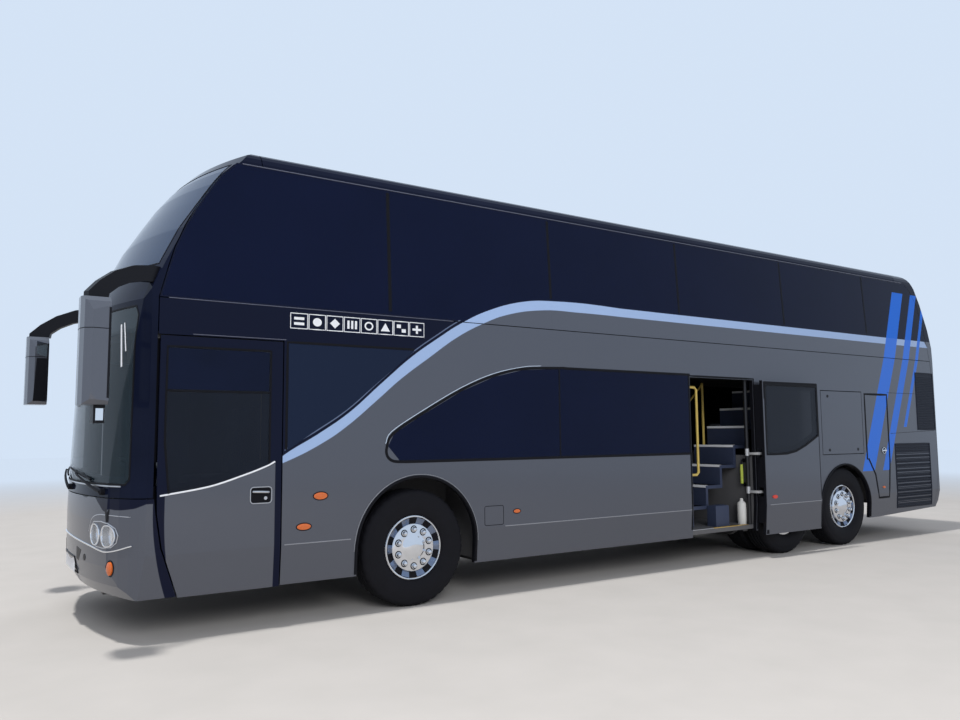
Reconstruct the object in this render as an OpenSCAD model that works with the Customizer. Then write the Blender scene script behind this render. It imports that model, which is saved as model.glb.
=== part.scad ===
// Double-deck airport passenger bus with three axles, doors on its left side.
// Millimetres. +X is forward, +Y is the left (door) side, +Z is up, the road is z = 0.
// Places along the bus are given as distances ahead of the front axle (behind it they are negative).

/* [Body] */
// Width over the side panels
body_w = 2550; // [2480:10:2600]
// Height of the roof's crown above the road
body_h = 4000; // [3970:5:4050]
// Height of the skirt's lower edge
skirt_z = 328; // [310:1:345]
// Thickness of a side wall, roof or end panel
wall = 50; // [44:1:56]
// How far the side leans in between the upper sill and the roof corner
tumblehome = 70; // [40:1:90]
// How far the skirt leans in below the crease
skirt_lean = 18; // [8:1:30]
// Height of the crease along the skirt
crease_z = 648; // [620:1:680]
// Radius of the roof's edge
roof_corner_r = 170; // [150:1:190]
// Rise of the roof between its edges and its crown
roof_camber = 47; // [30:1:60]

/* [Length] */
// Nose ahead of the front axle
front_overhang = 2670; // [2640:5:2700]
// Front axle to drive axle
wheelbase = 5400; // [5380:5:5420]
// Drive axle to tag axle
tag_spacing = 1300; // [1290:1:1310]
// Tail behind the tag axle
rear_overhang = 2630; // [2600:5:2660]
// How far the right mirror reaches ahead of the nose
mirror_lead = 290; // [280:1:305]
// Radius of the nose in plan
nose_bow_r = 3750; // [3650:50:3900]

/* [Levels] */
// Bottom of the lower windows
waist_z = 1305; // [1290:1:1320]
// Top of the lower windows behind the front axle
window_top_z = 2210; // [2200:1:2230]
// Seam between the lower and the upper side
sill_z = 2620; // [2610:1:2640]
// Seam between the upper side and the roof, below the crown
cant_drop = 190; // [185:1:200]
// Top of the lower deck's floor
floor_z = 400; // [390:1:410]
// Top of the upper deck's floor
deck_z = 2350; // [2340:1:2365]
// Thickness of both floors
deck_t = 50; // [40:1:55]

/* [Glass and seams] */
// Thickness of the bonded glass
glass_t = 14; // [8:1:18]
// Border of the glass that lies on the panel
frit = 60; // [40:1:80]
// Seam between fixed panels
seam = 8; // [5:1:10]
// Gap round a door or a lid
lid_gap = 10; // [8:1:12]
// Gap between pieces that seat on each other
fit = 0.3; // [0.2:0.05:0.4]
// Play of a pin or a shaft in its bore, on the radius
play = 0.05; // [0.02:0.01:0.1]

/* [Wheels] */
// Radius of the tyres
tyre_r = 522; // [510:1:530]
// Width of one tyre
tyre_w = 294; // [280:1:300]
// Radius at which the tyre sits on its rim
bead_r = 286; // [280:1:292]
// Distance of the outer wheels' middle from the bus's middle
track_half = 1100; // [1090:1:1105]
// Distance between the middles of twin wheels
twin_pitch = 330; // [325:1:335]
// Radius of the spindles that carry the wheels
spindle_r = 45; // [40:1:50]
// Number of holes in a rim's disc
rim_holes = 10; // [8:1:12]
// Distance of the kingpins from the bus's middle
kingpin_y = 930; // [925:1:932]
// Radius of the kingpins
kingpin_r = 22; // [18:1:26]
// Length of the steering arms
steer_arm = 220; // [200:5:225]

/* [Doors] */
// Rear edge of the front doorway
front_door_x = 1260; // [1250:5:1280]
// Height of the front doorway's top
front_door_top = 2330; // [2320:1:2340]
// Rear edge of the middle doorway, ahead of the drive axle
mid_door_x = 590; // [585:1:600]
// Width of the middle doorway
mid_door_w = 1150; // [1140:1:1160]
// Height of the middle doorway's top
mid_door_top = 2190; // [2180:1:2200]
// Lower edge of the middle door
mid_door_bottom = 290; // [280:1:300]
// How far the front door moves back when it opens
front_door_travel = 925; // [900:5:930]
// How far the middle door moves back when it opens
mid_door_travel = 1135; // [1100:5:1140]
// Turn of a door's arms between shut and open
door_turn = 164.2; // [150:0.1:166]
// Thickness of a door
door_t = 45; // [40:1:48]
// Radius of a door's column
column_r = 25; // [20:1:26]
// Radius of the pins that carry the doors on their arms
door_pin_r = 12; // [10:1:14]
// Half the thickness of a door's arm
arm_half = 12; // [10:1:14]

/* [Lids] */
// Front edge of the luggage flap's opening, ahead of the tag axle
flap_x = 480; // [460:5:500]
// Length of the luggage flap's opening
flap_len = 980; // [960:5:990]
// Lower edge of the luggage flap's opening
flap_z = 1225; // [1210:1:1240]
// Upper edge of the luggage flap's opening
flap_top = 2100; // [2090:1:2110]
// Front edge of the service door's opening, behind the tag axle
service_x = 560; // [550:5:570]
// Length of the service door's opening
service_len = 600; // [580:5:610]
// Half the width of the engine hatch's opening
hatch_half = 800; // [780:5:820]
// Lower edge of the engine hatch's opening
hatch_z = 640; // [630:1:660]
// Upper edge of the engine hatch's opening
hatch_top = 1700; // [1680:1:1720]
// Radius of the lids' hinge pins
hinge_r = 5; // [4:0.5:6]
// Depth of the lids' hinge axes below the skin and from the lid's edge
hinge_inset = 10; // [9:0.5:11]

/* [Inside] */
// Number of steps of the staircase
step_count = 8; // [8:1:8]
// Depth of one step
step_run = 270; // [260:1:275]
// Foot of the staircase, ahead of the drive axle
stair_x = 1450; // [1440:1:1460]
// Inner edge of the seats, from the bus's middle
seat_in = 280; // [260:5:300]
// Outer edge of the seats, from the bus's middle
seat_out = 1150; // [1100:5:1160]
// Distance between rows of seats
seat_pitch = 780; // [760:5:800]

/* [Hidden] */

hw = body_w / 2;
body_len = front_overhang + wheelbase + tag_spacing + rear_overhang;
nose_x = (body_len - mirror_lead) / 2;
tail_x = nose_x - body_len;
axle_x = nose_x - front_overhang;
drive_x = axle_x - wheelbase;
tag_x = drive_x - tag_spacing;
axle_z = tyre_r - 2;
cant_z = body_h - cant_drop;

// Plain helpers.

// A list turned round
function turned(p) = [for (i = [len(p) - 1 : -1 : 0]) p[i]];
// Points moved ahead of the front axle into the bus's own frame
function at_axle(p) = [for (q = p) [axle_x + q[0], q[1]]];
// The same for points moved ahead of the drive axle, of the tag axle and of the tail
function at_drive(p) = [for (q = p) [drive_x + q[0], q[1]]];
function at_tag(p) = [for (q = p) [tag_x + q[0], q[1]]];
function at_tail(p) = [for (q = p) [tail_x + q[0], q[1]]];
// Height of a point above the sill, from its share of the way up to the crown
function up(f) = sill_z + f * (body_h - sill_z);
// Points of an arc about [a, b]
function arc(a, b, r, from, to, n) =
    [for (i = [0 : n]) let (w = from + (to - from) * i / n) [a + r * cos(w), b + r * sin(w)]];
// Unit vector that points into a polygon which runs anticlockwise, from the edge p to q
function inward(p, q) = let (d = q - p) [-d[1], d[0]] / norm(d);
// The same polygon with every edge moved inward by t
function inset(p, t) = let (n = len(p)) [
    for (i = [0 : n - 1])
        let (a = inward(p[(i + n - 1) % n], p[i]), b = inward(p[i], p[(i + 1) % n]))
        p[i] + (a + b) * t / (1 + a * b)
];

// Outlines in x and z, between two places across the bus
module across(y0, y1) {
    translate([0, y1, 0]) rotate([90, 0, 0]) linear_extrude(height = y1 - y0) children();
}

// Outlines in y and z, between two places along the bus
module along(x0, x1) {
    translate([x0, 0, 0]) rotate([90, 0, 90]) linear_extrude(height = x1 - x0) children();
}

// A box from its lowest to its highest corner
module block(lo, hi) {
    translate(lo) cube(hi - lo);
}

// A round bar along Y
module bar_y(x, z, r, y0, y1) {
    translate([x, y1, z]) rotate([90, 0, 0]) cylinder(r = r, h = y1 - y0, $fn = 32);
}

// A round bar along X
module bar_x(y, z, r, x0, x1) {
    translate([x0, y, z]) rotate([0, 90, 0]) cylinder(r = r, h = x1 - x0, $fn = 32);
}

// The same thing on the left and on the right
module both_sides() {
    children();
    mirror([0, 1, 0]) children();
}

// The body's outer form.

// The nose above the sill: distance behind its foremost point, share of the way up to the crown
nose_brow = [
    [232, 0.2246], [358, 0.4203], [512, 0.605], [610, 0.72], [715, 0.82], [865, 0.935],
    [1010, 0.985], [1290, 1.0022]
];

// Cross-section in y and z, the side up to the sill upright, then leaning in to the roof's arc
roof_edge_y = hw - tumblehome - roof_corner_r;
roof_edge_z = body_h - roof_camber - roof_corner_r;
half_section = concat(
    [[hw - skirt_lean - 48, -200], [hw, crease_z], [hw, sill_z]],
    arc(roof_edge_y, roof_edge_z, roof_corner_r, 2, 84, 5),
    [for (f = [2 / 3, 1 / 3]) [roof_edge_y * f, body_h - roof_camber * f * f]]
);
section = concat(half_section, [[0, body_h]], [for (q = turned(half_section)) [-q[0], q[1]]]);

// The nose from the skirt to the roof: distance behind its foremost point, height
nose_profile = concat(
    [[110, 300], [35, 420], [5, 560], [0, 900], [5, 1200], [30, 1900], [90, sill_z - 20]],
    [for (q = nose_brow) [q[0], up(q[1])]]
);
nose_turn = concat(
    [[500, -300], [nose_bow_r - 110, -300]],
    [for (q = nose_profile) [nose_bow_r - q[0], q[1]]],
    [[500, body_h + 200]]
);
// Plan of the nose's corners: distance behind the foremost point, distance from the middle
nose_corner = [[100, 0], [120, 900], [150, 1010], [200, 1110], [260, 1195], [320, 1250], [400, 1300]];
nose_plan = concat(
    [[nose_x - 2400, -1500], [nose_x - 800, -1500]],
    [for (q = turned(nose_corner)) if (q[1] > 900) [nose_x - q[0], -q[1]]],
    [[nose_x + 100, -700], [nose_x + 100, 700]],
    [for (q = nose_corner) if (q[1] > 900) [nose_x - q[0], q[1]]],
    [[nose_x - 800, 1500], [nose_x - 2400, 1500]]
);

// The tail above the sill, from the roof down: distance ahead of its rearmost point, share as above
tail_brow = [
    [950, 1.0022], [720, 0.9819], [575, 0.9275], [430, 0.8116], [310, 0.6377], [170, 0.3551],
    [90, 0.0725]
];
// The tail from the roof to the skirt: distance ahead of its rearmost point, height
tail_profile = concat(
    [for (q = tail_brow) [q[0], up(q[1])]],
    [[20, 2020], [0, 1400], [80, 780], [170, 480], [260, 370]]
);
tail_side = concat(
    [[tail_x + 2600, -200], [tail_x + 2600, body_h + 200], [tail_x + 1200, body_h + 200]],
    [for (q = tail_profile) [tail_x + q[0], q[1]]],
    [[tail_x + 300, -200]]
);
tail_corner = [[0, 900], [18, 1080], [45, 1170], [90, 1240], [150, 1300]];
tail_plan = concat(
    [[tail_x + 2400, 1500], [tail_x + 500, 1500]],
    [for (q = turned(tail_corner)) [tail_x + q[0], q[1]]],
    [for (q = tail_corner) [tail_x + q[0], -q[1]]],
    [[tail_x + 500, -1500], [tail_x + 2400, -1500]]
);

// The nose end of the body, moved in by t
module nose_form(t) {
    intersection() {
        along(nose_x - 2000, nose_x + 50) polygon(inset(section, t));
        translate([nose_x - nose_bow_r, 0, 0])
            rotate([0, 0, -60]) rotate_extrude(angle = 120, $fn = 240) polygon(inset(nose_turn, t));
        translate([0, 0, -250]) linear_extrude(height = body_h + 500) polygon(inset(nose_plan, t));
    }
}

// The tail end of the body, moved in by t
module tail_form(t) {
    intersection() {
        along(tail_x - 50, tail_x + 2000) polygon(inset(section, t));
        across(-1500, 1500) polygon(inset(tail_side, t));
        translate([0, 0, -250]) linear_extrude(height = body_h + 500) polygon(inset(tail_plan, t));
    }
}

// A layer of the body between its two ends, from t0 to t1 inside the outer form
module skin(t0, t1) {
    along(tail_x + 20, nose_x - 20) difference() {
        polygon(inset(section, t0));
        polygon(inset(section, t1));
    }
}

// The part of that layer on the left (s = 1) or right (s = -1) that lies behind an outline in x and z
module side_layer(s, t0, t1) {
    intersection() {
        skin(t0, t1);
        across(s > 0 ? 700 : -1500, s > 0 ? 1500 : -700) children();
    }
}

// Seams and openings, as x ahead of the front axle and z.

// Rear edge of the front mask beside the upper windscreen, from the sill up
mask_edge = [
    [2260, sill_z], [2200, up(0.167)], [2150, up(0.297)], [2073, up(0.43)], [1993, up(0.54)],
    [1895, up(0.66)], [1795, up(0.77)], [1670, cant_z]
];
// Front edge of the rear panel, from the sill up, ahead of the tail
tail_edge = [
    [210, sill_z], [290, up(0.3551)], [410, up(0.6232)], [570, up(0.7826)], [720, cant_z]
];

// The upper side, between the two ends
upper_outline = concat(
    at_axle([for (q = mask_edge) [q[0] - seam / 2, q[1]]]),
    at_tail([for (q = turned(tail_edge)) [q[0] + seam / 2, q[1]]])
);
// Joints between the panes of the upper side
pane_joints = [3000, 270, -1610, -3540, -5530, -7450, -12000];

// The upper panes, their edges moved in by m
module upper_panes(m) {
    for (i = [0 : len(pane_joints) - 2])
        intersection() {
            polygon(inset(upper_outline, 12 + m));
            translate([axle_x + pane_joints[i + 1] + 4 + m, sill_z])
                square([pane_joints[i] - pane_joints[i + 1] - 8 - 2 * m, 2000]);
        }
}

// The lower side
side_front = axle_x + mask_edge[0][0] - seam / 2;
lower_outline = concat(
    at_tail([[310, skirt_z + 57], [1830, skirt_z]]),
    [[side_front, skirt_z], [side_front, sill_z - seam]],
    at_tail([[214, sill_z - seam], [144, 2100], [144, 1000], [214, 600]])
);
// The curve that climbs from the waist behind the front door to the upper sill
swoop = [[1260, 1380], [950, 1580], [680, 1750], [340, 2030], [40, 2280]];
// Window above the curve
fore_window = at_axle(concat(
    [[1220, 1420], [1220, 2310], [20, 2310]],
    [for (i = [3 : -1 : 1]) [swoop[i][0] + 10, swoop[i][1] + 12]]
));
// Band of glass below the curve, as far back as x
function band(x) = at_axle([
    [170, waist_z], [290, 1440], [230, 1550], [-40, 1710], [-490, 1950], [-870, 2100],
    [-1220, 2180], [-1690, window_top_z], [x, window_top_z], [x, waist_z]
]);
left_band_end = mid_door_x - wheelbase + mid_door_w + 20;
right_band_end = -wheelbase - 130;
band_joints = [600, -1690, -3640, -6000];
driver_window = at_axle([[1340, 1260], [2180, 1180], [2180, 2310], [1340, 2310]]);

// The lower panes of a side, their edges moved in by m
module lower_panes(s, m) {
    polygon(inset(fore_window, m));
    for (i = [0 : 2])
        if (band_joints[i] > (s > 0 ? left_band_end : right_band_end))
            intersection() {
                polygon(inset(band(s > 0 ? left_band_end : right_band_end), m));
                translate([axle_x + band_joints[i + 1] + 4 + m, 0])
                    square([band_joints[i] - band_joints[i + 1] - 8 - 2 * m, 3000]);
            }
    if (s < 0) polygon(inset(driver_window, m));
}

// Wheel arches: middle ahead of the front axle, its height, radius
arches = [[-30, 540, 610], [-wheelbase - 20, 500, 580], [-wheelbase - tag_spacing - 20, 500, 580]];

module arch_cuts() {
    for (a = arches) {
        translate([axle_x + a[0], a[1]]) circle(r = a[2], $fn = 64);
        translate([axle_x + a[0] - a[2], 0]) square([2 * a[2], a[1]]);
    }
}

// Louvred grilles in the side: rear end ahead of the tail, lower edge, length, height
grilles = [[170, 1570, 490, 840], [370, 440, 950, 900]];
louvre_pitch = 70;
louvre_gap = 40;

module grille_cuts() {
    for (g = grilles)
        for (z = [g[1] + 10 : louvre_pitch : g[1] + g[3] - louvre_gap])
            translate([tail_x + g[0], z]) square([g[2], louvre_gap]);
}

// The service door's outline: its lower front corner is cut back behind the tag wheel
service_top = flap_top - 20;
service_outline = at_tag([
    [-service_x - service_len + 60, 585], [-service_x - 260, 585], [-service_x - 190, 930],
    [-service_x - 45, 1140], [-service_x, 1140], [-service_x, service_top], [-service_x - service_len, service_top],
    [-service_x - service_len, 1100]
]);

module flap_outline(m) {
    translate([tag_x + flap_x - flap_len + m, flap_z + m])
        square([flap_len - 2 * m, flap_top - flap_z - 2 * m]);
}

// The doorways, as outlines
module front_doorway() {
    translate([axle_x + front_door_x, 0]) square([1400, front_door_top]);
}

module mid_doorway() {
    translate([drive_x + mid_door_x, 0]) square([mid_door_w, mid_door_top]);
}

// How a door hangs: a column by the doorway's rear edge carries two bent arms.

shut_angle = 0.5;
open_angle = shut_angle + door_turn;
column_inset = 30;       // from the doorway's rear edge
column_y = hw - 100;
function arm_len(travel) = travel / (cos(shut_angle) - cos(open_angle));
function arm_out(travel) = arm_len(travel) * (sin(open_angle) - sin(shut_angle));
front_column_x = axle_x + front_door_x + 20 + column_inset;
mid_column_x = drive_x + mid_door_x + column_inset;
front_arm_levels = [560, 960];
mid_arm_levels = [790, 1260];
arm_h = 30;

// Column and arms with the door open, about the column's foot on the bus's own floor
module door_arms(travel, levels) {
    reach = arm_len(travel);
    tip = [reach * cos(open_angle), reach * sin(open_angle)];
    translate([0, 0, floor_z - 30]) cylinder(r = column_r, h = 2240 - floor_z + 30, $fn = 32);
    for (z = levels) translate([0, 0, z]) {
        linear_extrude(height = arm_h) union() {
            translate([-arm_half, 0]) square([2 * arm_half, tip[1] + arm_half]);
            translate([tip[0], tip[1] - arm_half]) square([-tip[0] + arm_half, 2 * arm_half]);
            translate(tip) circle(r = 2 * door_pin_r - 2, $fn = 32);
        }
        translate([tip[0], tip[1], 0]) cylinder(r = door_pin_r, h = arm_h + 32, $fn = 32);
    }
}

// Brackets on a door's inner face that take the arms' pins, about the pin with the door shut
module door_brackets(levels) {
    for (z = levels) translate([0, 0, z + arm_h + 5]) difference() {
        linear_extrude(height = 24) union() {
            circle(r = 2 * door_pin_r - 2, $fn = 32);
            translate([-2 * door_pin_r + 2, 0])
                square([4 * door_pin_r - 4, hw - door_t - column_y - 4]);
        }
        translate([0, 0, -1]) cylinder(r = door_pin_r + play, h = 26, $fn = 32);
    }
}

// Where a shut door's pins are
function pin_x(column_x, travel) = column_x + arm_len(travel) * cos(shut_angle);
function pin_y(travel) = column_y + arm_len(travel) * sin(shut_angle);

// The bearing in the header above a door's column
module column_bearing(x) {
    difference() {
        union() {
            block([x - 140, column_y - 50, 2210], [x + 60, hw - wall - 50, 2250]);
            block([x - 140, column_y - 50, 2210], [x - column_inset - 22, hw, 2250]);
        }
        translate([x, column_y, 2200]) cylinder(r = column_r + play, h = 60, $fn = 32);
        difference() {
            block([x - 150, 1000, 2190], [x + 70, 1500, 2270]);
            along(x - 160, x + 80) polygon(inset(section, wall + fit));
        }
    }
}

// The doors' outlines; the front panel ends along the front door's front edge
bumper_z = 700;
nose_gap = 12;
door_nose = [[2060, skirt_z - 8], [2190, bumper_z], [2232, 960], [2240, 1300]];
front_door_plan = at_axle([
    [front_door_x + lid_gap + 20, skirt_z - 8], each door_nose, [2240, front_door_top - lid_gap],
    [front_door_x + lid_gap, front_door_top - lid_gap], [front_door_x + lid_gap, skirt_z - 8]
]);
front_door_pane = at_axle([
    [1370, 1300], [1580, 1230], [1850, 1150], [2150, 1105], [2190, 1500], [2190, 2240], [1370, 2240]
]);
mid_door_plan = at_drive([
    [mid_door_x + lid_gap, mid_door_bottom], [mid_door_x + mid_door_w - lid_gap, mid_door_bottom],
    [mid_door_x + mid_door_w - lid_gap, mid_door_top - lid_gap],
    [mid_door_x + lid_gap, mid_door_top - lid_gap]
]);
mid_door_pane = at_drive([
    [mid_door_x + 40, 1490], [mid_door_x + 310, 1370], [mid_door_x + 510, 1300],
    [mid_door_x + 710, 1270], [mid_door_x + mid_door_w - 50, 1265],
    [mid_door_x + mid_door_w - 50, mid_door_top - 60], [mid_door_x + 40, mid_door_top - 60]
]);

// A door leaf in its shut place
module door_leaf(plan, pane) {
    difference() {
        side_layer(1, 0, door_t) polygon(plan);
        side_layer(1, -5, glass_t + fit) polygon(inset(pane, -fit));
        across(1000, 1500) polygon(inset(pane, frit));
    }
}

// Wheels.

// Half profile of a tyre: radius, place across its width
tyre_profile = [
    [bead_r, -115], [335, -tyre_w / 2], [465, -tyre_w / 2], [tyre_r, -100],
    [tyre_r, 100], [465, tyre_w / 2], [335, tyre_w / 2], [bead_r, 115]
];

module spun() {
    rotate([-90, 0, 0]) rotate_extrude($fn = 48) children();
}

module tyre(y) {
    translate([0, y, 0]) spun() polygon(tyre_profile);
}

seat_r = bead_r - fit;
bore_r = spindle_r + play;

// A rim whose disc stands proud, as on the front and tag axles
module proud_rim() {
    difference() {
        spun() polygon([
            [bore_r, -70], [100, -70], [110, 20], [190, 38], [252, 40], [262, -105], [seat_r, -114],
            [seat_r, 114], [272, 120], [262, 84], [205, 64], [150, 92], [104, 100], [100, 108],
            [78, 124], [0, 128], [0, 96], [bore_r, 96]
        ]);
        for (i = [0 : rim_holes - 1]) rotate([0, i * 360 / rim_holes, 0])
            bar_y(205, 0, 22, 0, 130);
    }
}

// Twin rims with a hollow outer face, as on the drive axle
module twin_rims() {
    difference() {
        union() {
            spun() polygon([
                [bore_r, -420], [110, -420], [110, -300], [250, -290], [262, -430], [seat_r, -444],
                [seat_r, -216], [262, -220], [254, -268], [120, -276], [120, -80], [250, -74],
                [262, -105], [seat_r, -114], [seat_r, 114], [266, 118], [254, -52], [150, -58],
                [140, 62], [104, 78], [0, 84], [0, 60], [bore_r, 60]
            ]);
        }
        for (i = [0 : rim_holes - 1]) rotate([0, i * 360 / rim_holes, 0])
            bar_y(205, 0, 22, -120, 0);
    }
}

// A piece of an axle's left end, put at an axle, on the left or right
module at_wheel(x, s, y = track_half) {
    translate([x, 0, axle_z]) mirror([0, s > 0 ? 0 : 1, 0]) translate([0, y, 0]) children();
}

// Pieces of the body.

rail_depth = 80;
rail_bottom = floor_z - deck_t - rail_depth;
rail_end = nose_x - 200;

module chassis_frame() {
    color("dimgray") difference() {
        intersection() {
            frame_bars();
            along(tail_x, nose_x) polygon(inset(section, wall + fit));
        }
        // socket for the towing eye in the right rail's front end
        bar_x(-tow_y, tow_z, tow_r, rail_end - tow_depth, rail_end + 1);
    }
}

tow_y = 450;
tow_z = 300;
tow_r = 20;
tow_depth = 60;

// Bars that butt against each other with the fit between them
module frame_bars() {
    low = [rail_bottom, floor_z - deck_t - fit];
    kick = [630, 715];
    rise_x = drive_x + 500;
    both_sides() {
        // low rails under the front platform and under the saloon
        block([axle_x + kick[1] + fit, 400, low[0]], [rail_end, 500, low[1]]);
        block([rise_x + fit, 400, low[0]], [axle_x - kick[1] - fit, 500, low[1]]);
        // raised over the front axle
        for (x = [-kick[1], kick[0]])
            block([axle_x + x, 300, low[0]], [axle_x + x + 85, 500, 720 - fit]);
        block([axle_x - kick[1], 300, 720], [axle_x + kick[1], 400, 855]);
        // raised over the rear axles, back to the engine
        block([rise_x - 100, 400, low[0]], [rise_x, 500, 860 - fit]);
        block([tail_x + 160, 400, 860], [rise_x, 500, 1000]);
        // engine hangers
        for (x = engine_x) block([x, 400, 400], [x + 80, 440, 860 - fit]);
        // outriggers, shallower where they reach the side
        for (x = low_cross_x) along(x, x + 80) polygon([
            [500 + fit, low[0]], [980, low[0]], [1080, skirt_z + 1], [hw, skirt_z + 1], [hw, low[1]],
            [500 + fit, low[1]]
        ]);
        for (x = high_cross_x) block([x, 500 + fit, 880], [x + 60, hw, 980]);
    }
    for (x = low_cross_x) block([x, -400 + fit, low[0]], [x + 80, 400 - fit, low[1]]);
    for (x = [-kick[1], kick[0]])
        block([axle_x + x, -300 + fit, low[0]], [axle_x + x + 85, 300 - fit, low[1]]);
    for (x = high_cross_x) block([x, -400 + fit, 880], [x + 60, 400 - fit, 980]);
    for (x = engine_x) block([x, -400 + fit, 400], [x + 80, 400 - fit, engine_z - fit]);
}

// Where the low and the high crossmembers and the engine's hangers begin
low_cross_x = [
    axle_x + 1500, axle_x + 2050, axle_x - 1000, axle_x - 2300, drive_x + 1700, drive_x + 700
];
high_cross_x = [(drive_x + tag_x) / 2 - 50, tag_x - 700, tail_x + 380];
engine_z = 450;
engine_x = [tail_x + 530, tail_x + 1630];

bulkhead_x = drive_x + mid_door_x - 45;

// The space inside the side walls
module between_walls(x0, x1) {
    along(x0, x1) polygon(inset(section, wall + fit));
}

module lower_deck() {
    difference() {
        union() {
            // platform by the front door, with the driver's podium
            intersection() {
                union() {
                    block([axle_x + 720, -hw, floor_z - deck_t], [nose_x, hw, floor_z]);
                    block([axle_x + 800, -hw, floor_z - 1], [axle_x + 1950, -250, 750]);
                }
                nose_form(wall + fit);
            }
            intersection() {
                union() {
                    // aisle over the front axle between the wheel boxes
                    block([axle_x - 760, -590, 860], [axle_x + 760, 590, 900]);
                    for (x = [-760, 720])
                        block([axle_x + x, -hw, floor_z - deck_t], [axle_x + x + 40, hw, 900]);
                    both_sides() {
                        for (x = [-760, 720])
                            block([axle_x + x, 550, floor_z - deck_t], [axle_x + x + 40, hw, 1210]);
                        block([axle_x - 760, 550, 860], [axle_x + 760, 590, 1210]);
                        block([axle_x - 760, 550, 1170], [axle_x + 760, hw, 1210]);
                    }
                    // saloon, bulkhead and the platform over the rear axles
                    block([bulkhead_x, -hw, floor_z - deck_t], [axle_x - 720, hw, floor_z]);
                    block([bulkhead_x, -hw, floor_z - deck_t], [bulkhead_x + 40, hw, 1250]);
                    block([tail_x + 1770, -hw, 1200], [bulkhead_x + 40, hw, 1250]);
                }
                between_walls(tail_x, nose_x - 1000);
            }
        }
        for (x = [front_column_x, mid_column_x])
            translate([x, column_y, 0]) cylinder(r = column_r + play, h = 500, $fn = 32);
    }
}

module upper_deck() {
    difference() {
        intersection() {
            block([tail_x + 30, -hw, deck_z - deck_t], [nose_x, hw, deck_z]);
            union() {
                tail_form(wall + fit);
                between_walls(tail_x + 400, nose_x - 1900);
                nose_form(wall + fit);
            }
        }
        block([stair_end, stair_y[0] - 30, 2000], [stair_foot + 60, stair_y[1] + 30, deck_z + 150]);
    }
}

module decks() {
    color("gray") {
        lower_deck();
        upper_deck();
    }
}

// The staircase beside the middle doorway, a folded plate that climbs towards the rear.

stair_y = [340, 980];
stair_rise = (deck_z - floor_z - fit) / step_count;
stair_t = 40;
stair_foot = drive_x + stair_x;
stair_end = stair_foot - (step_count - 1) * step_run - stair_t - fit;
stair_top = [
    for (i = [0 : step_count - 1], j = [0, 1])
        [stair_foot - i * step_run, floor_z + fit + (i + j) * stair_rise]
];

module staircase() {
    color("silver") across(stair_y[0], stair_y[1]) polygon(concat(
        stair_top,
        [[stair_top[2 * step_count - 1][0] - stair_t, deck_z]],
        [for (i = [2 * step_count - 2 : -1 : 1]) stair_top[i] - [stair_t, stair_t]],
        [stair_top[0] - [stair_t, 0]]
    ));
}

// The sides.

module lid_pin_bores() {
    // luggage flap
    bar_x(hw - hinge_inset, flap_top - lid_gap - hinge_inset, hinge_r + play,
        tag_x + flap_x - flap_len - 22, tag_x + flap_x + 22);
    // service door
    translate([tag_x - service_x - lid_gap - hinge_inset, hw - hinge_inset, 1100])
        cylinder(r = hinge_r + play, h = service_top + 25 - 1100, $fn = 24);
}

// Butt joints between the left side's panels
module left_joints() {
    translate([axle_x + front_door_x - fit, front_door_top - 1]) square([fit, 600]);
    for (x = [mid_door_x - fit, mid_door_x + mid_door_w])
        translate([drive_x + x, mid_door_top - 1]) square([fit, 600]);
    translate([tag_x + flap_x, 600]) square([fit, 2200]);
    translate([tag_x - service_x - service_len - fit, service_top - 1]) square([fit, 600]);
    translate([tag_x - service_x - service_len + 60 - fit, 0]) square([fit, 600]);
}

module left_side() {
    color("slategray") {
        difference() {
            side_layer(1, 0, wall) difference() {
                polygon(lower_outline);
                front_doorway();
                mid_doorway();
                arch_cuts();
                grille_cuts();
                flap_outline(0);
                polygon(service_outline);
                left_joints();
            }
            side_layer(1, -5, glass_t + fit) lower_panes(1, -fit);
            across(1000, 1500) lower_panes(1, frit);
            lid_pin_bores();
        }
        column_bearing(mid_column_x);
        column_bearing(front_column_x);
    }
}

module right_side() {
    color("slategray") difference() {
        side_layer(-1, 0, wall) difference() {
            polygon(lower_outline);
            arch_cuts();
            grille_cuts();
        }
        side_layer(-1, -5, glass_t + fit) lower_panes(-1, -fit);
        across(-1500, -1000) lower_panes(-1, frit);
    }
}

module upper_sides() {
    color("black") both_sides() difference() {
        side_layer(1, 0, wall) polygon(upper_outline);
        side_layer(1, -5, glass_t + fit) upper_panes(-fit);
        across(1000, 1500) upper_panes(frit);
    }
}

module side_glass() {
    color("darkslategray") {
        both_sides() side_layer(1, 0, glass_t) upper_panes(0);
        side_layer(1, 0, glass_t) lower_panes(1, 0);
        side_layer(-1, 0, glass_t) lower_panes(-1, 0);
    }
}

roof_front = nose_x - 1220;
roof_rear = tail_x + 960;

module roof() {
    color("black") intersection() {
        along(roof_rear + seam / 2, roof_front - seam / 2) difference() {
            polygon(section);
            polygon(inset(section, wall));
        }
        block([roof_rear, -hw, cant_z + fit], [roof_front, hw, body_h + 50]);
    }
}

// The front.

mask_z = 1080;
// The windscreens' outlines in y and z
lower_screen = [
    [-1150, 1180], [1150, 1180], [1185, 1220], [1195, 2480], [1150, 2550], [-1150, 2550],
    [-1195, 2480], [-1185, 1220]
];
upper_screen = [
    [-1180, up(0.2)], [1180, up(0.2)], [1135, up(0.7101)], [1090, up(0.87)],
    [-1090, up(0.87)], [-1135, up(0.7101)]
];

// What of the nose lies ahead of the mask's rear edge
mask_outline = concat(
    [[nose_x + 60, mask_z], [nose_x + 60, body_h + 200], [roof_front + seam / 2, body_h + 200],
        [roof_front + seam / 2, cant_z + seam / 2]],
    at_axle([for (q = turned(mask_edge)) [q[0] + seam / 2, q[1]]]),
    [[side_front + seam, mask_z]]
);

// Front layer from t0 to t1
module nose_layer(t0, t1) {
    difference() {
        nose_form(t0);
        nose_form(t1);
    }
}

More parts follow.
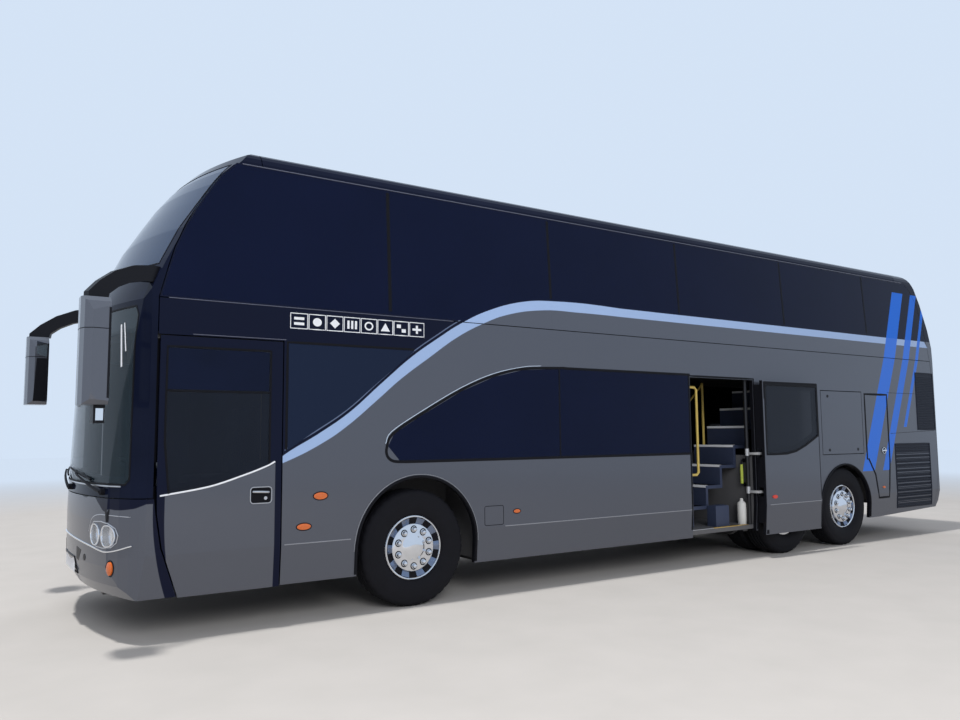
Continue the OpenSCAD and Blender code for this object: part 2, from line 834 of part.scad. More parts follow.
// Prisms through the screens, m inside their outlines
module lower_screen_cut(m) {
    along(nose_x - 1000, nose_x + 100) polygon(inset(lower_screen, m));
}

module upper_screen_cut(m) {
    along(nose_x - 1150, nose_x + 100) polygon(inset(upper_screen, m));
}

module front_mask() {
    color("black") difference() {
        intersection() {
            nose_layer(0, wall);
            across(-1400, 1400) difference() {
                polygon(mask_outline);
                // joint under the upper windscreen
                translate([axle_x, sill_z]) square([3000, fit]);
            }
        }
        intersection() {
            nose_layer(-5, glass_t + fit);
            union() {
                lower_screen_cut(-fit);
                upper_screen_cut(-fit);
            }
        }
        lower_screen_cut(frit);
        upper_screen_cut(frit);
    }
}

rear_window = [[-950, up(0.1014)], [950, up(0.1014)], [900, up(0.6812)], [-900, up(0.6812)]];

module screens() {
    color("darkslategray") {
        intersection() {
            nose_layer(0, glass_t);
            lower_screen_cut(0);
        }
        intersection() {
            nose_layer(0, glass_t);
            upper_screen_cut(0);
        }
        intersection() {
            difference() {
                tail_form(0);
                tail_form(glass_t);
            }
            along(tail_x - 60, tail_x + 700) polygon(rear_window);
        }
    }
}

// Round headlamps: distance from the middle, height, radius
headlamps = [[1000, 790, 76], [800, 790, 76]];

module headlamp_cut(r_add, back) {
    both_sides() for (h = headlamps)
        bar_x(h[0], h[1], h[2] + r_add, nose_x - back, nose_x + 20);
}

// Front panel above a bumper; on the left both end along the front door's edge
module front_panel() {
    color("slategray") difference() {
        intersection() {
            nose_layer(0, wall);
            union() {
                across(-1400, 0) polygon([
                    [nose_x + 60, skirt_z], [nose_x + 60, mask_z - seam],
                    [side_front + seam, mask_z - seam], [side_front + seam, skirt_z]
                ]);
                across(0, 1400) polygon([
                    [nose_x + 60, skirt_z], [nose_x + 60, mask_z - seam],
                    [side_front, mask_z - seam],
                    for (i = [2 : -1 : 0]) [axle_x + door_nose[i][0] + nose_gap, max(door_nose[i][1], skirt_z)]
                ]);
            }
        }
        block([axle_x, -1400, bumper_z], [nose_x + 60, 1400, bumper_z + fit]);
        headlamp_cut(fit, 500);
    }
}

// Tail lamps: from y, from z, width, height
tail_lamps = [[hw - 190, 760, 110, 190], [hw - 190, 970, 110, 260], [hw - 190, 1250, 110, 190]];

module tail_lamp_cut(m, back) {
    both_sides() for (l = tail_lamps)
        block([tail_x - 60, l[0] - m, l[1] - m], [tail_x + back, l[0] + l[2] + m, l[1] + l[3] + m]);
}

module lamps() {
    color("whitesmoke") {
        intersection() {
            difference() {
                nose_form(-6);
                nose_form(wall - 4);
            }
            headlamp_cut(0, 500);
        }
        intersection() {
            difference() {
                tail_form(-5);
                tail_form(wall - 10);
            }
            tail_lamp_cut(0, 300);
        }
    }
}

// The rear.

rear_outline = concat(
    at_tail([[140, 1000], [140, 2100]]),
    at_tail([for (q = tail_edge) [q[0] - seam / 2, q[1]]]),
    [[roof_rear - seam / 2, cant_z + seam / 2], [roof_rear - seam / 2, body_h + 200],
        [tail_x - 60, body_h + 200], [tail_x - 60, skirt_z + 57]],
    at_tail([[306, skirt_z + 57], [210, 600]])
);

module hatch_cut(m) {
    along(tail_x - 60, tail_x + 400) translate([-hatch_half + m, hatch_z + m])
        square([2 * (hatch_half - m), hatch_top - hatch_z - 2 * m]);
}

hatch_axis_x = tail_x + 12 + hinge_inset;
hatch_axis_z = hatch_top - lid_gap - hinge_inset;

module rear_panel() {
    color("slategray") difference() {
        intersection() {
            difference() {
                tail_form(0);
                tail_form(wall);
            }
            across(-1400, 1400) polygon(turned(rear_outline));
        }
        intersection() {
            difference() {
                tail_form(-5);
                tail_form(glass_t + fit);
            }
            along(tail_x - 60, tail_x + 700) polygon(inset(rear_window, -fit));
        }
        along(tail_x - 60, tail_x + 700) polygon(inset(rear_window, frit));
        hatch_cut(0);
        tail_lamp_cut(fit, 300);
        bar_y(hatch_axis_x, hatch_axis_z, hinge_r + play, -hatch_half - 22, hatch_half + 22);
    }
}

module engine_hatch() {
    color("dimgray") {
        difference() {
            intersection() {
                difference() {
                    tail_form(0);
                    tail_form(wall - 6);
                }
                hatch_cut(lid_gap);
            }
            // louvres
            for (z = [hatch_z + 120 : louvre_pitch : hatch_top - 420], s = [-1, 1])
                block([tail_x - 60, s * 370 - 300, z], [tail_x + 300, s * 370 + 300, z + louvre_gap]);
        }
        bar_y(hatch_axis_x, hatch_axis_z, hinge_r, -hatch_half - 20, hatch_half + 20);
    }
}

// Lids in the left side.

module luggage_flap() {
    color("slategray") {
        side_layer(1, 0, wall - 5) flap_outline(lid_gap);
        bar_x(hw - hinge_inset, flap_top - lid_gap - hinge_inset, hinge_r,
            tag_x + flap_x - flap_len - 20, tag_x + flap_x + 20);
    }
}

module service_door() {
    color("slategray") {
        side_layer(1, 0, wall - 5) polygon(inset(service_outline, lid_gap));
        translate([tag_x - service_x - lid_gap - hinge_inset, hw - hinge_inset, 1102])
            cylinder(r = hinge_r, h = service_top + 23 - 1102, $fn = 24);
    }
}

// Doors.

module front_door() {
    color("slategray") {
        door_leaf(front_door_plan, front_door_pane);
        translate([pin_x(front_column_x, front_door_travel), pin_y(front_door_travel), 0])
            door_brackets(front_arm_levels);
    }
}

module front_door_glass() {
    color("darkslategray") side_layer(1, 0, glass_t) polygon(front_door_pane);
}

module front_door_arms() {
    color("silver") translate([front_column_x, column_y, 0])
        rotate([0, 0, -door_turn]) door_arms(front_door_travel, front_arm_levels);
}

module mid_open() {
    translate([-mid_door_travel, arm_out(mid_door_travel), 0]) children();
}

module middle_door() {
    color("slategray") mid_open() {
        door_leaf(mid_door_plan, mid_door_pane);
        translate([pin_x(mid_column_x, mid_door_travel), pin_y(mid_door_travel), 0])
            door_brackets(mid_arm_levels);
    }
}

module middle_door_glass() {
    color("darkslategray") mid_open() side_layer(1, 0, glass_t) polygon(mid_door_pane);
}

module middle_door_arms() {
    color("silver") translate([mid_column_x, column_y, 0])
        door_arms(mid_door_travel, mid_arm_levels);
}

// Mirrors, hung ahead of the screen on arms from the roof's front corners.

// Each mirror: side, how far its middle is ahead of the nose, its foot's height, its height
mirror_y = 1405;
mirrors = [[1, mirror_lead - 230, 1770, 773], [-1, mirror_lead - 95, 1865, 675]];
arm_root = 2150;
arm_foot_y = 1150;

// An arm in its own upright plane: share of the way out, height above the mirror's top; upper edge,
// then lower edge
arm_curve = [
    [0, 312], [0.26, 317], [0.5, 287], [0.71, 222], [0.88, 132], [1, 40], [1, fit], [0.78, fit],
    [0.77, 42], [0.67, 102], [0.53, 152], [0.36, 182], [0.19, 192], [0, 182]
];

module mirror_arms() {
    color("black") for (m = mirrors) on_side(m[0]) difference() {
        reach = nose_x - axle_x + m[1] + 62 - arm_root;
        rise = atan2(mirror_y - arm_foot_y + 40, reach);
        translate([axle_x + arm_root, arm_foot_y, m[2] + m[3]]) rotate([0, 0, rise])
            across(-30, 30) polygon(turned([for (q = arm_curve) [q[0] * reach / cos(rise), q[1]]]));
        nose_form(-fit);
    }
}

// To the left, or mirrored to the right
module on_side(s) {
    mirror([0, s < 0 ? 1 : 0, 0]) children();
}

module mirror_heads() {
    color("gray") for (m = mirrors) on_side(m[0]) intersection() {
        // plan: rounded front
        translate([nose_x + m[1], mirror_y, m[2]]) linear_extrude(height = m[3]) polygon([
            [-95, -140], [25, -155], [75, -120], [95, -50], [95, 50], [75, 120], [25, 155], [-95, 140]
        ]);
        // front view: rounded corners
        along(nose_x - 300, nose_x + 400) translate([mirror_y, m[2]]) polygon([
            [-115, 0], [115, 0], [150, 35], [157, 100], [157, m[3] - 110], [130, m[3] - 35],
            [90, m[3]], [-90, m[3]], [-130, m[3] - 35], [-157, m[3] - 110], [-157, 100], [-150, 35]
        ]);
    }
}

// Inside.

// Rows of paired seats: x of the seat's back, floor height, on the left, on the right
lower_rows = [for (i = [0 : 2]) [-1260 - i * seat_pitch, floor_z]];
upper_count = floor((axle_x + 900 - tail_x - 1400) / seat_pitch);
upper_rows = [for (i = [0 : upper_count]) [900 - i * seat_pitch, deck_z]];

module seat_pair(x, z, s) {
    mirror([0, s > 0 ? 0 : 1, 0]) translate([axle_x + x, 0, z + fit])
        across(seat_in, seat_out) union() {
            polygon([[0, 300], [440, 310], [450, 430], [60, 450], [-70, 1130], [-160, 1120], [-90, 300]]);
            translate([80, 0]) square([240, 320]);
        }
}

module seats() {
    color("darkblue") {
        for (r = lower_rows, s = [-1, 1]) seat_pair(r[0], r[1], s);
        for (r = upper_rows, s = [-1, 1])
            if (s < 0 || axle_x + r[0] > stair_foot + 250 || axle_x + r[0] < stair_end - 450)
                seat_pair(r[0], r[1], s);
        // driver's seat on its podium
        translate([axle_x + 1150, 0, 750 + fit]) across(-900, -420) union() {
            polygon([[0, 250], [460, 260], [470, 400], [60, 410], [-90, 1100], [-190, 1090], [-90, 250]]);
            translate([80, 0]) square([260, 270]);
        }
    }
}

module dashboard() {
    color("black") intersection() {
        union() {
            across(-1150, 1150) polygon(at_axle([
                [2300, floor_z + fit], [2500, floor_z + fit], [2640, 1000], [2640, 1120], [2350, 1180],
                [2120, 1130], [2060, 1000], [2300, 900]
            ]));
            // steering column and wheel
            translate([axle_x + 1980, -660, 1230]) rotate([0, -28, 0]) {
                rotate_extrude($fn = 48) translate([225, 0]) circle(r = 16, $fn = 16);
                translate([0, 0, -10]) cylinder(r = 60, h = 20, $fn = 32);
                for (a = [90, 210, 330]) rotate([0, 0, a]) block([0, -12, -8], [215, 12, 8]);
                translate([0, 0, -250]) cylinder(r = 26, h = 250, $fn = 32);
            }
        }
        nose_form(wall + fit);
    }
}

rail_r = 17;
// Upright rails between floor and ceiling: x ahead of the front axle, y
poles = [
    [1640 - wheelbase, 1120], [1640 - wheelbase, 250], [-900, 250], [-900, -250], [-2700, -250],
    [-2700, 250], [1200, 560]
];

module grab_rails() {
    color("gold") {
        for (p = poles)
            translate([axle_x + p[0], p[1], floor_z + fit])
                cylinder(r = rail_r, h = deck_z - deck_t - floor_z - 2 * fit, $fn = 24);
        // handrail beside the stairs
        rail_post(1370, floor_z + fit, 1340);
        rail_post(400, 1250 + fit, 2215);
        translate([drive_x + 1370, 300, 1320]) rotate([0, -atan2(970, 875), 0])
            cylinder(r = rail_r - 4, h = norm([970, 875]), $fn = 24);
    }
}

module rail_post(x, z0, z1) {
    translate([drive_x + x, 300, z0]) cylinder(r = rail_r, h = z1 - z0, $fn = 24);
}

module engine_block() {
    color("dimgray") block([tail_x + 450, -370, engine_z], [tail_x + 1690, 370, 1420]);
}

// Axles.

module front_axle() {
    color("dimgray") translate([axle_x, 0, axle_z]) {
        difference() {
            union() {
                block([-45, -760, -120], [45, 760, -20]);
                both_sides() {
                    // swan neck up to the kingpin
                    along(-45, 45) polygon([
                        [700, -120], [780, -120], [855, -70], [900, -70], [900, 70], [840, 70], [700, -20]
                    ]);
                    block([-45, 880, -70], [45, kingpin_y, 70]);
                    translate([0, kingpin_y, -70]) cylinder(r = 55, h = 140, $fn = 32);
                    // air springs
                    translate([0, 350, -21]) cylinder(r = 120, h = 720 - axle_z + 21 - fit, $fn = 32);
                }
            }
            both_sides() translate([0, kingpin_y, -80]) cylinder(r = kingpin_r + play, h = 160, $fn = 32);
        }
    }
}

// The left knuckle about its kingpin
module knuckle() {
    for (z = [-145, 76]) translate([0, 0, z]) cylinder(r = 50, h = 69, $fn = 32);
    translate([0, 0, -145]) cylinder(r = kingpin_r, h = 290, $fn = 32);
    for (z = [-145, 76]) block([-45, 0, z], [45, 92, z + 69]);
    block([-50, 62, -145], [50, track_half - kingpin_y - 76, 145]);
    bar_y(0, 0, spindle_r, 70, track_half - kingpin_y + 90);
    // steering arm with the tie rod's pin
    block([-steer_arm, -18, -145], [0, 18, -105]);
    translate([-steer_arm, 0, -145]) cylinder(r = 24, h = 40, $fn = 24);
    translate([-steer_arm, 0, -145]) cylinder(r = tie_pin_r, h = 85, $fn = 24);
}

tie_pin_r = 12;

module knuckle_left() {
    color("gray") translate([axle_x, kingpin_y, axle_z]) knuckle();
}

module knuckle_right() {
    color("gray") mirror([0, 1, 0]) translate([axle_x, kingpin_y, axle_z]) knuckle();
}

module tie_rod() {
    color("gray") translate([axle_x - steer_arm, 0, axle_z - 100]) difference() {
        union() {
            bar_y(0, 17, 17, -kingpin_y + 20, kingpin_y - 20);
            both_sides() translate([0, kingpin_y, 0]) cylinder(r = 28, h = 34, $fn = 24);
        }
        translate([0, kingpin_y, -1]) cylinder(r = tie_pin_r + play, h = 40, $fn = 24);
        translate([0, -kingpin_y, -1]) cylinder(r = tie_pin_r + 6, h = 40, $fn = 24);
    }
}

module rear_axles() {
    color("dimgray") {
        // drive axle: housing, differential, brakes, spindles, air springs under the rails
        translate([drive_x, 0, axle_z]) {
            bar_y(0, 0, 75, -600, 600);
            sphere(r = 190, $fn = 48);
            bar_x(0, 0, 70, 0, 420);
            both_sides() {
                bar_y(0, 0, 200, 540, 600);
                bar_y(0, 0, 100, 600, track_half - 430);
                bar_y(0, 0, spindle_r, 600, track_half + 55);
                air_springs(450);
            }
        }
        // tag axle
        translate([tag_x, 0, axle_z]) {
            bar_y(0, 0, 60, -860, 860);
            both_sides() {
                bar_y(0, 0, 200, 800, 860);
                bar_y(0, 0, 90, 860, track_half - 76);
                bar_y(0, 0, spindle_r, 860, track_half + 90);
                air_springs(450);
            }
        }
    }
}

// Springs ahead of and behind an axle on a cradle under the frame rail
module air_springs(y) {
    block([-330, y - 40, -60], [330, y + 40, 0]);
    for (x = [-250, 250]) translate([x, y, -10])
        cylinder(r = 110, h = 860 - axle_z + 10 - fit, $fn = 32);
}

// Wheels on their axles.

module single_tyre(x, s) {
    color("black") at_wheel(x, s) tyre(0);
}

module twin_tyres(s) {
    color("black") at_wheel(drive_x, s) {
        tyre(0);
        tyre(-twin_pitch);
    }
}

module single_rim(x, s) {
    color("silver") at_wheel(x, s) proud_rim();
}

module drive_rims(s) {
    color("silver") at_wheel(drive_x, s) twin_rims();
}

chassis_frame();
decks();
staircase();
left_side();
right_side();
upper_sides();
roof();
front_panel();
front_mask();
screens();
side_glass();
rear_panel();
lamps();
mirror_arms();
mirror_heads();
seats();
dashboard();
grab_rails();
engine_block();
front_axle();
rear_axles();
knuckle_left();
knuckle_right();
tie_rod();
single_tyre(axle_x, 1);  // tyre_front_left
single_tyre(axle_x, -1);  // tyre_front_right
twin_tyres(1);  // tyres_drive_left
twin_tyres(-1);  // tyres_drive_right
single_tyre(tag_x, 1);  // tyre_tag_left
single_tyre(tag_x, -1);  // tyre_tag_right
single_rim(axle_x, 1);  // rim_front_left
single_rim(axle_x, -1);  // rim_front_right
drive_rims(1);  // rims_drive_left
drive_rims(-1);  // rims_drive_right
single_rim(tag_x, 1);  // rim_tag_left
single_rim(tag_x, -1);  // rim_tag_right
front_door();
front_door_glass();
front_door_arms();
middle_door();
middle_door_glass();
middle_door_arms();
luggage_flap();
service_door();
engine_hatch();
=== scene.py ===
"""Looks of a double-deck airport bus: paint, glass, wheels, lamps, trim, and the pale studio round it."""

import math

import bpy
import bmesh
from mathutils import Matrix, Vector


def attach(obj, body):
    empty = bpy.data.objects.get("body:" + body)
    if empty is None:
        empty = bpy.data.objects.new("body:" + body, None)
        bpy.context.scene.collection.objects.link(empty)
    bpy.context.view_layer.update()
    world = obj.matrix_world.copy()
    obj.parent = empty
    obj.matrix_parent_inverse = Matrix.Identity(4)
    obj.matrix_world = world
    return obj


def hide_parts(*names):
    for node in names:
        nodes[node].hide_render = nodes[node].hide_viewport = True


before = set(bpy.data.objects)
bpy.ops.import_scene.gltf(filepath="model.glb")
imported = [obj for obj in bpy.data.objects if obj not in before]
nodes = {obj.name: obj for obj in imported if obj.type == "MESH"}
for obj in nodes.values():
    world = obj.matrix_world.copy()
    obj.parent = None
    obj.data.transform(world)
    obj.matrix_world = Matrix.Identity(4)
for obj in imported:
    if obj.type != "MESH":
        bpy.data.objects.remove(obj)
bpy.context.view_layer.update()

# Sizes, in metres
AXLE, DRIVE, TAG = 3.185, -2.215, -3.515      # axles along the bus
NOSE, TAIL = 5.855, -6.145
HW = 1.275                                    # half the body's width
FOOT, WAIST = 0.648, 2.62                     # the side leans in below the one and above the other
FOOT_LEAN, WAIST_LEAN = 0.066 / 0.848, 0.0701 / 1.1689
AZ, TRACK = 0.52, 1.1                         # height of the wheels' middles, half the track


def skin_y(z):
    """Distance of the side's skin from the middle, at a height."""
    return HW - max(FOOT - z, 0.0) * FOOT_LEAN - max(z - WAIST, 0.0) * WAIST_LEAN


# How far the nose stands back, by height and, at its corners, by distance from the middle
NOSE_SET = [(0.3, 0.11), (0.42, 0.035), (0.56, 0.005), (0.9, 0.0), (1.2, 0.005), (1.9, 0.03),
            (2.6, 0.09), (2.93, 0.232), (3.2, 0.358), (3.455, 0.512), (3.614, 0.61), (3.752, 0.715),
            (3.91, 0.865), (3.979, 1.01), (4.003, 1.29)]
CORNER = [(0.7, -0.1), (1.01, 0.15), (1.11, 0.2), (1.195, 0.26), (1.25, 0.32), (1.3, 0.4)]
BOW = 3.75                                    # radius of the nose from above


def lookup(table, v):
    """Between the table's points straight lines, level beyond its ends."""
    for (a, fa), (b, fb) in zip(table, table[1:]):
        if v <= b:
            return fa + (fb - fa) * max(v - a, 0.0) / (b - a)
    return table[-1][1]


def nose_x(y, z):
    """Where the nose's skin is, at a place across the bus and a height."""
    r = BOW - lookup(NOSE_SET, z)
    x = NOSE - BOW + math.sqrt(r * r - y * y)
    return min(x, NOSE - lookup(CORNER, abs(y))) if abs(y) > 0.7 else x


TAIL_SET = [(0.37, 0.26), (0.48, 0.17), (0.78, 0.08), (1.4, 0.0), (2.02, 0.02), (2.72, 0.09),
            (3.11, 0.17), (3.5, 0.31), (3.74, 0.43), (3.9, 0.575), (4.0, 0.9)]


def tail_x(z):
    return TAIL + lookup(TAIL_SET, z)


class Tree:
    """A material's nodes, written as short formulas."""

    def __init__(self, name):
        self.mat = bpy.data.materials.new(name)
        self.mat.use_nodes = True
        self.t = self.mat.node_tree
        self.bsdf = self.t.nodes["Principled BSDF"]
        self.where = self.node("TexCoord").outputs["Object"]

    def node(self, kind, **sets):
        n = self.t.nodes.new("ShaderNode" + kind)
        for k, v in sets.items():
            setattr(n, k, v)
        return n

    def put(self, socket, v):
        if isinstance(v, bpy.types.NodeSocket):
            self.t.links.new(v, socket)
        else:
            socket.default_value = (*v, 1.0) if isinstance(v, tuple) else v

    def math(self, op, *args, clamp=False):
        n = self.node("Math", operation=op, use_clamp=clamp)
        for s, v in zip(n.inputs, args):
            self.put(s, v)
        return n.outputs[0]

    def add(self, a, b):
        return self.math("ADD", a, b)

    def sub(self, a, b):
        return self.math("SUBTRACT", a, b)

    def mul(self, a, b):
        return self.math("MULTIPLY", a, b)

    def most(self, a, b):
        return self.math("MAXIMUM", a, b)

    def flip(self, a):
        return self.math("SUBTRACT", 1.0, a)

    def line(self, v, factor, more, clamp=False):
        return self.math("MULTIPLY_ADD", v, factor, more, clamp=clamp)

    def over(self, v, edge, soft=0.004):
        """1 where v is above the edge, 0 below."""
        return self.line(self.sub(v, edge), 1.0 / soft, 0.5, clamp=True)

    def under(self, v, edge, soft=0.004):
        return self.flip(self.over(v, edge, soft))

    def within(self, v, a, b, soft=0.004):
        return self.mul(self.over(v, a, soft), self.under(v, b, soft))

    def xyz(self):
        """Object coordinates, x counted from the front axle."""
        sep = self.node("SeparateXYZ")
        self.put(sep.inputs[0], self.where)
        return self.sub(sep.outputs[0], AXLE), sep.outputs[1], sep.outputs[2]

    def noise(self, scale, detail=3.0, rough=0.5):
        n = self.node("TexNoise")
        for k, v in (("Scale", scale), ("Detail", detail), ("Roughness", rough), ("Vector", self.where)):
            self.put(n.inputs[k], v)
        return n.outputs[0]

    def curve(self, v, lo, hi, points):
        """A smooth line through points (v, f), flat beyond its ends; f is in 0..4."""
        n = self.node("FloatCurve")
        place = self.line(v, 1.0 / (hi - lo), -lo / (hi - lo), clamp=True)
        self.put(n.inputs["Value"], place)
        c = n.mapping.curves[0]
        pts = [((a - lo) / (hi - lo), f / 4.0) for a, f in points]
        c.points[0].location = pts[0]
        c.points[1].location = pts[-1]
        for p in pts[1:-1]:
            c.points.new(*p)
        n.mapping.update()
        return self.mul(n.outputs[0], 4.0)

    def blend(self, f, a, b, kind="FLOAT", first=2, out=0):
        """A number between a, where f is 0, and b, where f is 1."""
        n = self.node("Mix", data_type=kind)
        for k, v in (("Factor", f), (first, a), (first + 1, b)):
            self.put(n.inputs[k], v)
        return n.outputs[out]

    def mix(self, f, a, b):
        """The same for colours."""
        return self.blend(f, a, b, "RGBA", 6, 2)

    def bump(self, height, distance, strength=0.4):
        n = self.node("Bump")
        for k, v in (("Strength", strength), ("Distance", distance), ("Height", height)):
            self.put(n.inputs[k], v)
        self.put(self.bsdf.inputs["Normal"], n.outputs[0])

    def set(self, **v):
        names = {"color": "Base Color", "rough": "Roughness", "metal": "Metallic", "alpha": "Alpha",
                 "coat": "Coat Weight", "coat_rough": "Coat Roughness", "spec": "Specular IOR Level",
                 "sheen": "Sheen Weight"}
        for k, x in v.items():
            self.put(self.bsdf.inputs[names[k]], x)


def srgb(*levels):
    """A colour from its levels of 0 to 255."""
    return tuple(c / 255 / 12.92 if c <= 10 else ((c / 255 + 0.055) / 1.055) ** 2.4 for c in levels)


def shade(color, f):
    return tuple(min(1.0, c * f) for c in color)


def plain(name, color, rough, metal=0.0, grain=40.0, vary=0.15, rough_vary=0.12, bump=0.0, **more):
    """One finish with its own grain: colour and roughness drift a little over the surface."""
    t = Tree(name)
    n = t.noise(grain, 4.0)
    t.set(color=t.mix(n, shade(color, 1 - vary), shade(color, 1 + vary)), metal=metal,
          rough=t.line(t.sub(n, 0.5), rough_vary, rough, clamp=True), **more)
    if bump:
        t.bump(t.noise(grain * 6, 2.0), bump)
    return t.mat


GREY = srgb(88, 91, 100)
# black paint, tinted navy: the blue is a painted reflection of the sky
BLACK_WITH_SKY_REFLECTION = (0.0042, 0.0062, 0.02)
PALE = srgb(150, 174, 212)
LINE = srgb(96, 110, 138)
BLUE = srgb(22, 104, 214)
RUBBER = (0.005, 0.0052, 0.0075)

# The S-shaped stripe's upper and lower edge: x from the front axle, z
STRIPE_TOP = [(2.3, 1.085), (2.18, 1.098), (1.85, 1.148), (1.58, 1.228), (1.34, 1.308), (1.26, 1.375),
              (0.95, 1.555), (0.68, 1.73), (0.36, 2.0), (0.04, 2.262), (-0.22, 2.437), (-0.47, 2.592),
              (-0.8, 2.75), (-1.27, 2.885), (-1.65, 2.921), (-2.6, 2.921)]
STRIPE_FOOT = [(2.3, 1.068), (2.18, 1.08), (1.85, 1.13), (1.58, 1.21), (1.34, 1.29), (1.26, 1.315),
               (0.87, 1.5), (0.68, 1.625), (0.42, 1.833), (0.16, 2.048), (-0.12, 2.245), (-0.47, 2.48),
               (-0.75, 2.62), (-1.01, 2.72), (-1.48, 2.81), (-2.0, 2.825), (-2.6, 2.825)]


def livery(t):
    """Masks of the paint: black above the stripe, the stripe, the blue bars, a fine line above it."""
    x, _, z = t.xyz()
    top, foot = (t.curve(x, -2.6, 2.3, edge[::-1]) for edge in (STRIPE_TOP, STRIPE_FOOT))
    above = t.over(z, top, 0.006)
    stripe = t.sub(t.over(z, foot, 0.006), above)
    stripe = t.mul(t.most(stripe, 0.0), t.over(x, t.line(z, 0.9, -11.65), 0.01))
    # three slanted bars near the tail, each a place at z = 2, a width and a foot
    bars = 0.0
    u = t.add(x, t.line(z, 0.42, -0.84))
    for middle, width, foot in ((-7.72, 0.3, 0.98), (-8.17, 0.17, 0.98), (-8.48, 0.08, 1.6)):
        bar = t.within(u, middle - width / 2, middle + width / 2, 0.006)
        bars = t.add(bars, t.mul(bar, t.within(z, foot, 3.64, 0.006)))
    fine = t.mul(t.within(t.sub(z, top), 0.03, 0.041, 0.005), t.over(x, -0.75))
    return above, stripe, bars, fine


LEAF_OUT = 0.1475                             # how far out the open leaf of the middle door stands

# Lower edge of the black mask on the front panel: distance from the middle, height
MOUSTACHE = [(0.0, 1.085), (0.35, 1.085), (0.55, 1.06), (0.72, 1.085), (0.85, 1.02), (0.95, 0.972),
             (1.0, 0.99), (1.08, 0.988), (1.18, 0.996), (1.24, 1.012), (1.3, 1.06)]


def coachwork(name, door=False, glazed=False, nose=False, rear=False, leaf=False):
    """Clear-coated paint with the livery; glazed: dark glass wherever the livery leaves it bare."""
    t = Tree(name)
    x, y, z = t.xyz()
    wide = t.math("ABSOLUTE", y)
    above, stripe, bars, fine = livery(t)
    color = t.mix(t.noise(900.0, 1.0), shade(GREY, 0.86), shade(GREY, 1.14))
    color = t.mix(t.mul(t.noise(0.7, 2.0), 0.35), color, shade(GREY, 0.88))
    if door or nose:
        stripe = 0.0
        above = t.mul(above, t.under(x, 2.23))
    color = t.mix(stripe, color, PALE)
    color = t.mix(above, color, BLACK_WITH_SKY_REFLECTION)
    if not (door or nose):
        color = t.mix(t.mul(fine, t.under(x, 1.245)), color, LINE)
    metal = t.mul(t.flip(t.add(above, stripe)), 0.55)
    lean = t.mul(t.most(t.sub(z, WAIST), 0.0), WAIST_LEAN)
    if door or nose:
        def sweep(reach, z0, f):
            """An upright edge that sweeps back below z0."""
            return t.line(t.math("POWER", t.most(t.sub(z0, z), 0.0), 2.0), -f, reach)
        if door:
            edge = t.most(t.over(x, sweep(2.178, 0.95, 0.18)), t.under(x, 1.322))
        else:
            # the black foot of the mask, and the black strip ahead of the front door
            strip = t.mul(t.under(x, sweep(2.262, 1.0, 0.24)), t.over(wide, 1.0))
            edge = t.most(t.over(z, t.curve(wide, 0.0, 1.3, MOUSTACHE)), strip)
        above = t.most(above, edge)
        color = t.mix(edge, color, BLACK_WITH_SKY_REFLECTION)
        metal = t.mul(metal, t.flip(edge))
    # depth below the skin: the rebates behind the glass are black like the glass's black border; on the other
    # faces below the skin the black is painted shade
    deep = 0.0
    if not (door or glazed or rear):
        tuck = t.mul(t.most(t.sub(FOOT, z), 0.0), FOOT_LEAN)
        skin = HW - 0.006 + (LEAF_OUT if leaf else 0.0)
        ends = t.most(t.over(x, 2.2, 0.01), t.under(x, -9.08, 0.01))
        deep = t.mul(t.over(t.sub(t.sub(skin, lean), tuck), wide, 0.003), t.flip(ends))
    if rear:
        bars = t.mul(bars, t.over(t.add(wide, lean), HW - 0.03))
    color = t.mix(deep, color, RUBBER)
    color = t.mix(t.mul(bars, t.flip(deep)), color, BLUE)
    metal = t.mul(metal, t.flip(t.most(deep, bars)))
    dust = t.mul(t.noise(3.0, 6.0, 0.7), 0.1)
    rough = t.most(t.add(t.blend(above, 0.34, 0.06), t.mul(dust, 0.5)), t.mul(deep, 0.7))
    t.set(color=color, metal=metal, rough=rough, spec=0.1, coat=t.blend(above, 0.5, 0.02), coat_rough=0.04)
    if glazed:
        upper = t.over(z, 2.6, 0.01)
        bare = t.most(t.mul(above, t.flip(bars)), t.flip(upper))
        # dark glass tinted navy: the blue is partly a painted reflection of the sky
        tint = t.mix(t.noise(1.5), (0.0015, 0.004, 0.02), (0.003, 0.006, 0.028))
        tint = t.mix(t.mul(above, t.flip(upper)), tint, (0.009, 0.016, 0.04))
        t.set(color=t.mix(bare, color, tint), metal=t.mul(metal, t.flip(bare)),
              alpha=t.blend(bare, 1.0, 0.95), coat=t.blend(t.most(above, bare), 0.5, 0.02),
              rough=t.blend(bare, rough, t.add(0.02, t.mul(dust, 0.2))))
    return t.mat


def seat_cloth():
    """Dark blue weave with lighter flecks."""
    t = Tree("seat_cloth")
    x, _, z = t.xyz()
    fleck = t.over(t.noise(60.0, 2.0), 0.6, 0.05)
    c = t.mix(t.noise(9.0), (0.01, 0.016, 0.045), (0.018, 0.028, 0.07))
    t.set(color=t.mix(t.mul(fleck, 0.5), c, (0.06, 0.1, 0.22)), rough=0.92, sheen=0.3)
    t.bump(t.mul(t.math("SINE", t.mul(x, 900.0)), t.math("SINE", t.mul(z, 900.0))), 0.0006)
    return t.mat


def lamp_lens():
    """Clear in front; behind, red with an amber field."""
    t = Tree("lamp_lens")
    x, y, z = t.xyz()
    back = t.under(x, -5.0)
    red = t.mix(t.noise(60.0), (0.42, 0.004, 0.004), (0.55, 0.01, 0.008))
    tail = t.mix(t.within(z, 1.25, 1.45), red, (0.8, 0.18, 0.01))
    front = t.mix(t.noise(50.0), (0.55, 0.58, 0.62), (0.75, 0.78, 0.82))
    t.set(color=t.mix(back, front, tail), rough=0.08, coat=0.5, alpha=t.blend(back, 0.3, 0.92))
    t.bump(t.math("SINE", t.mul(y, 700.0)), 0.0006)
    return t.mat


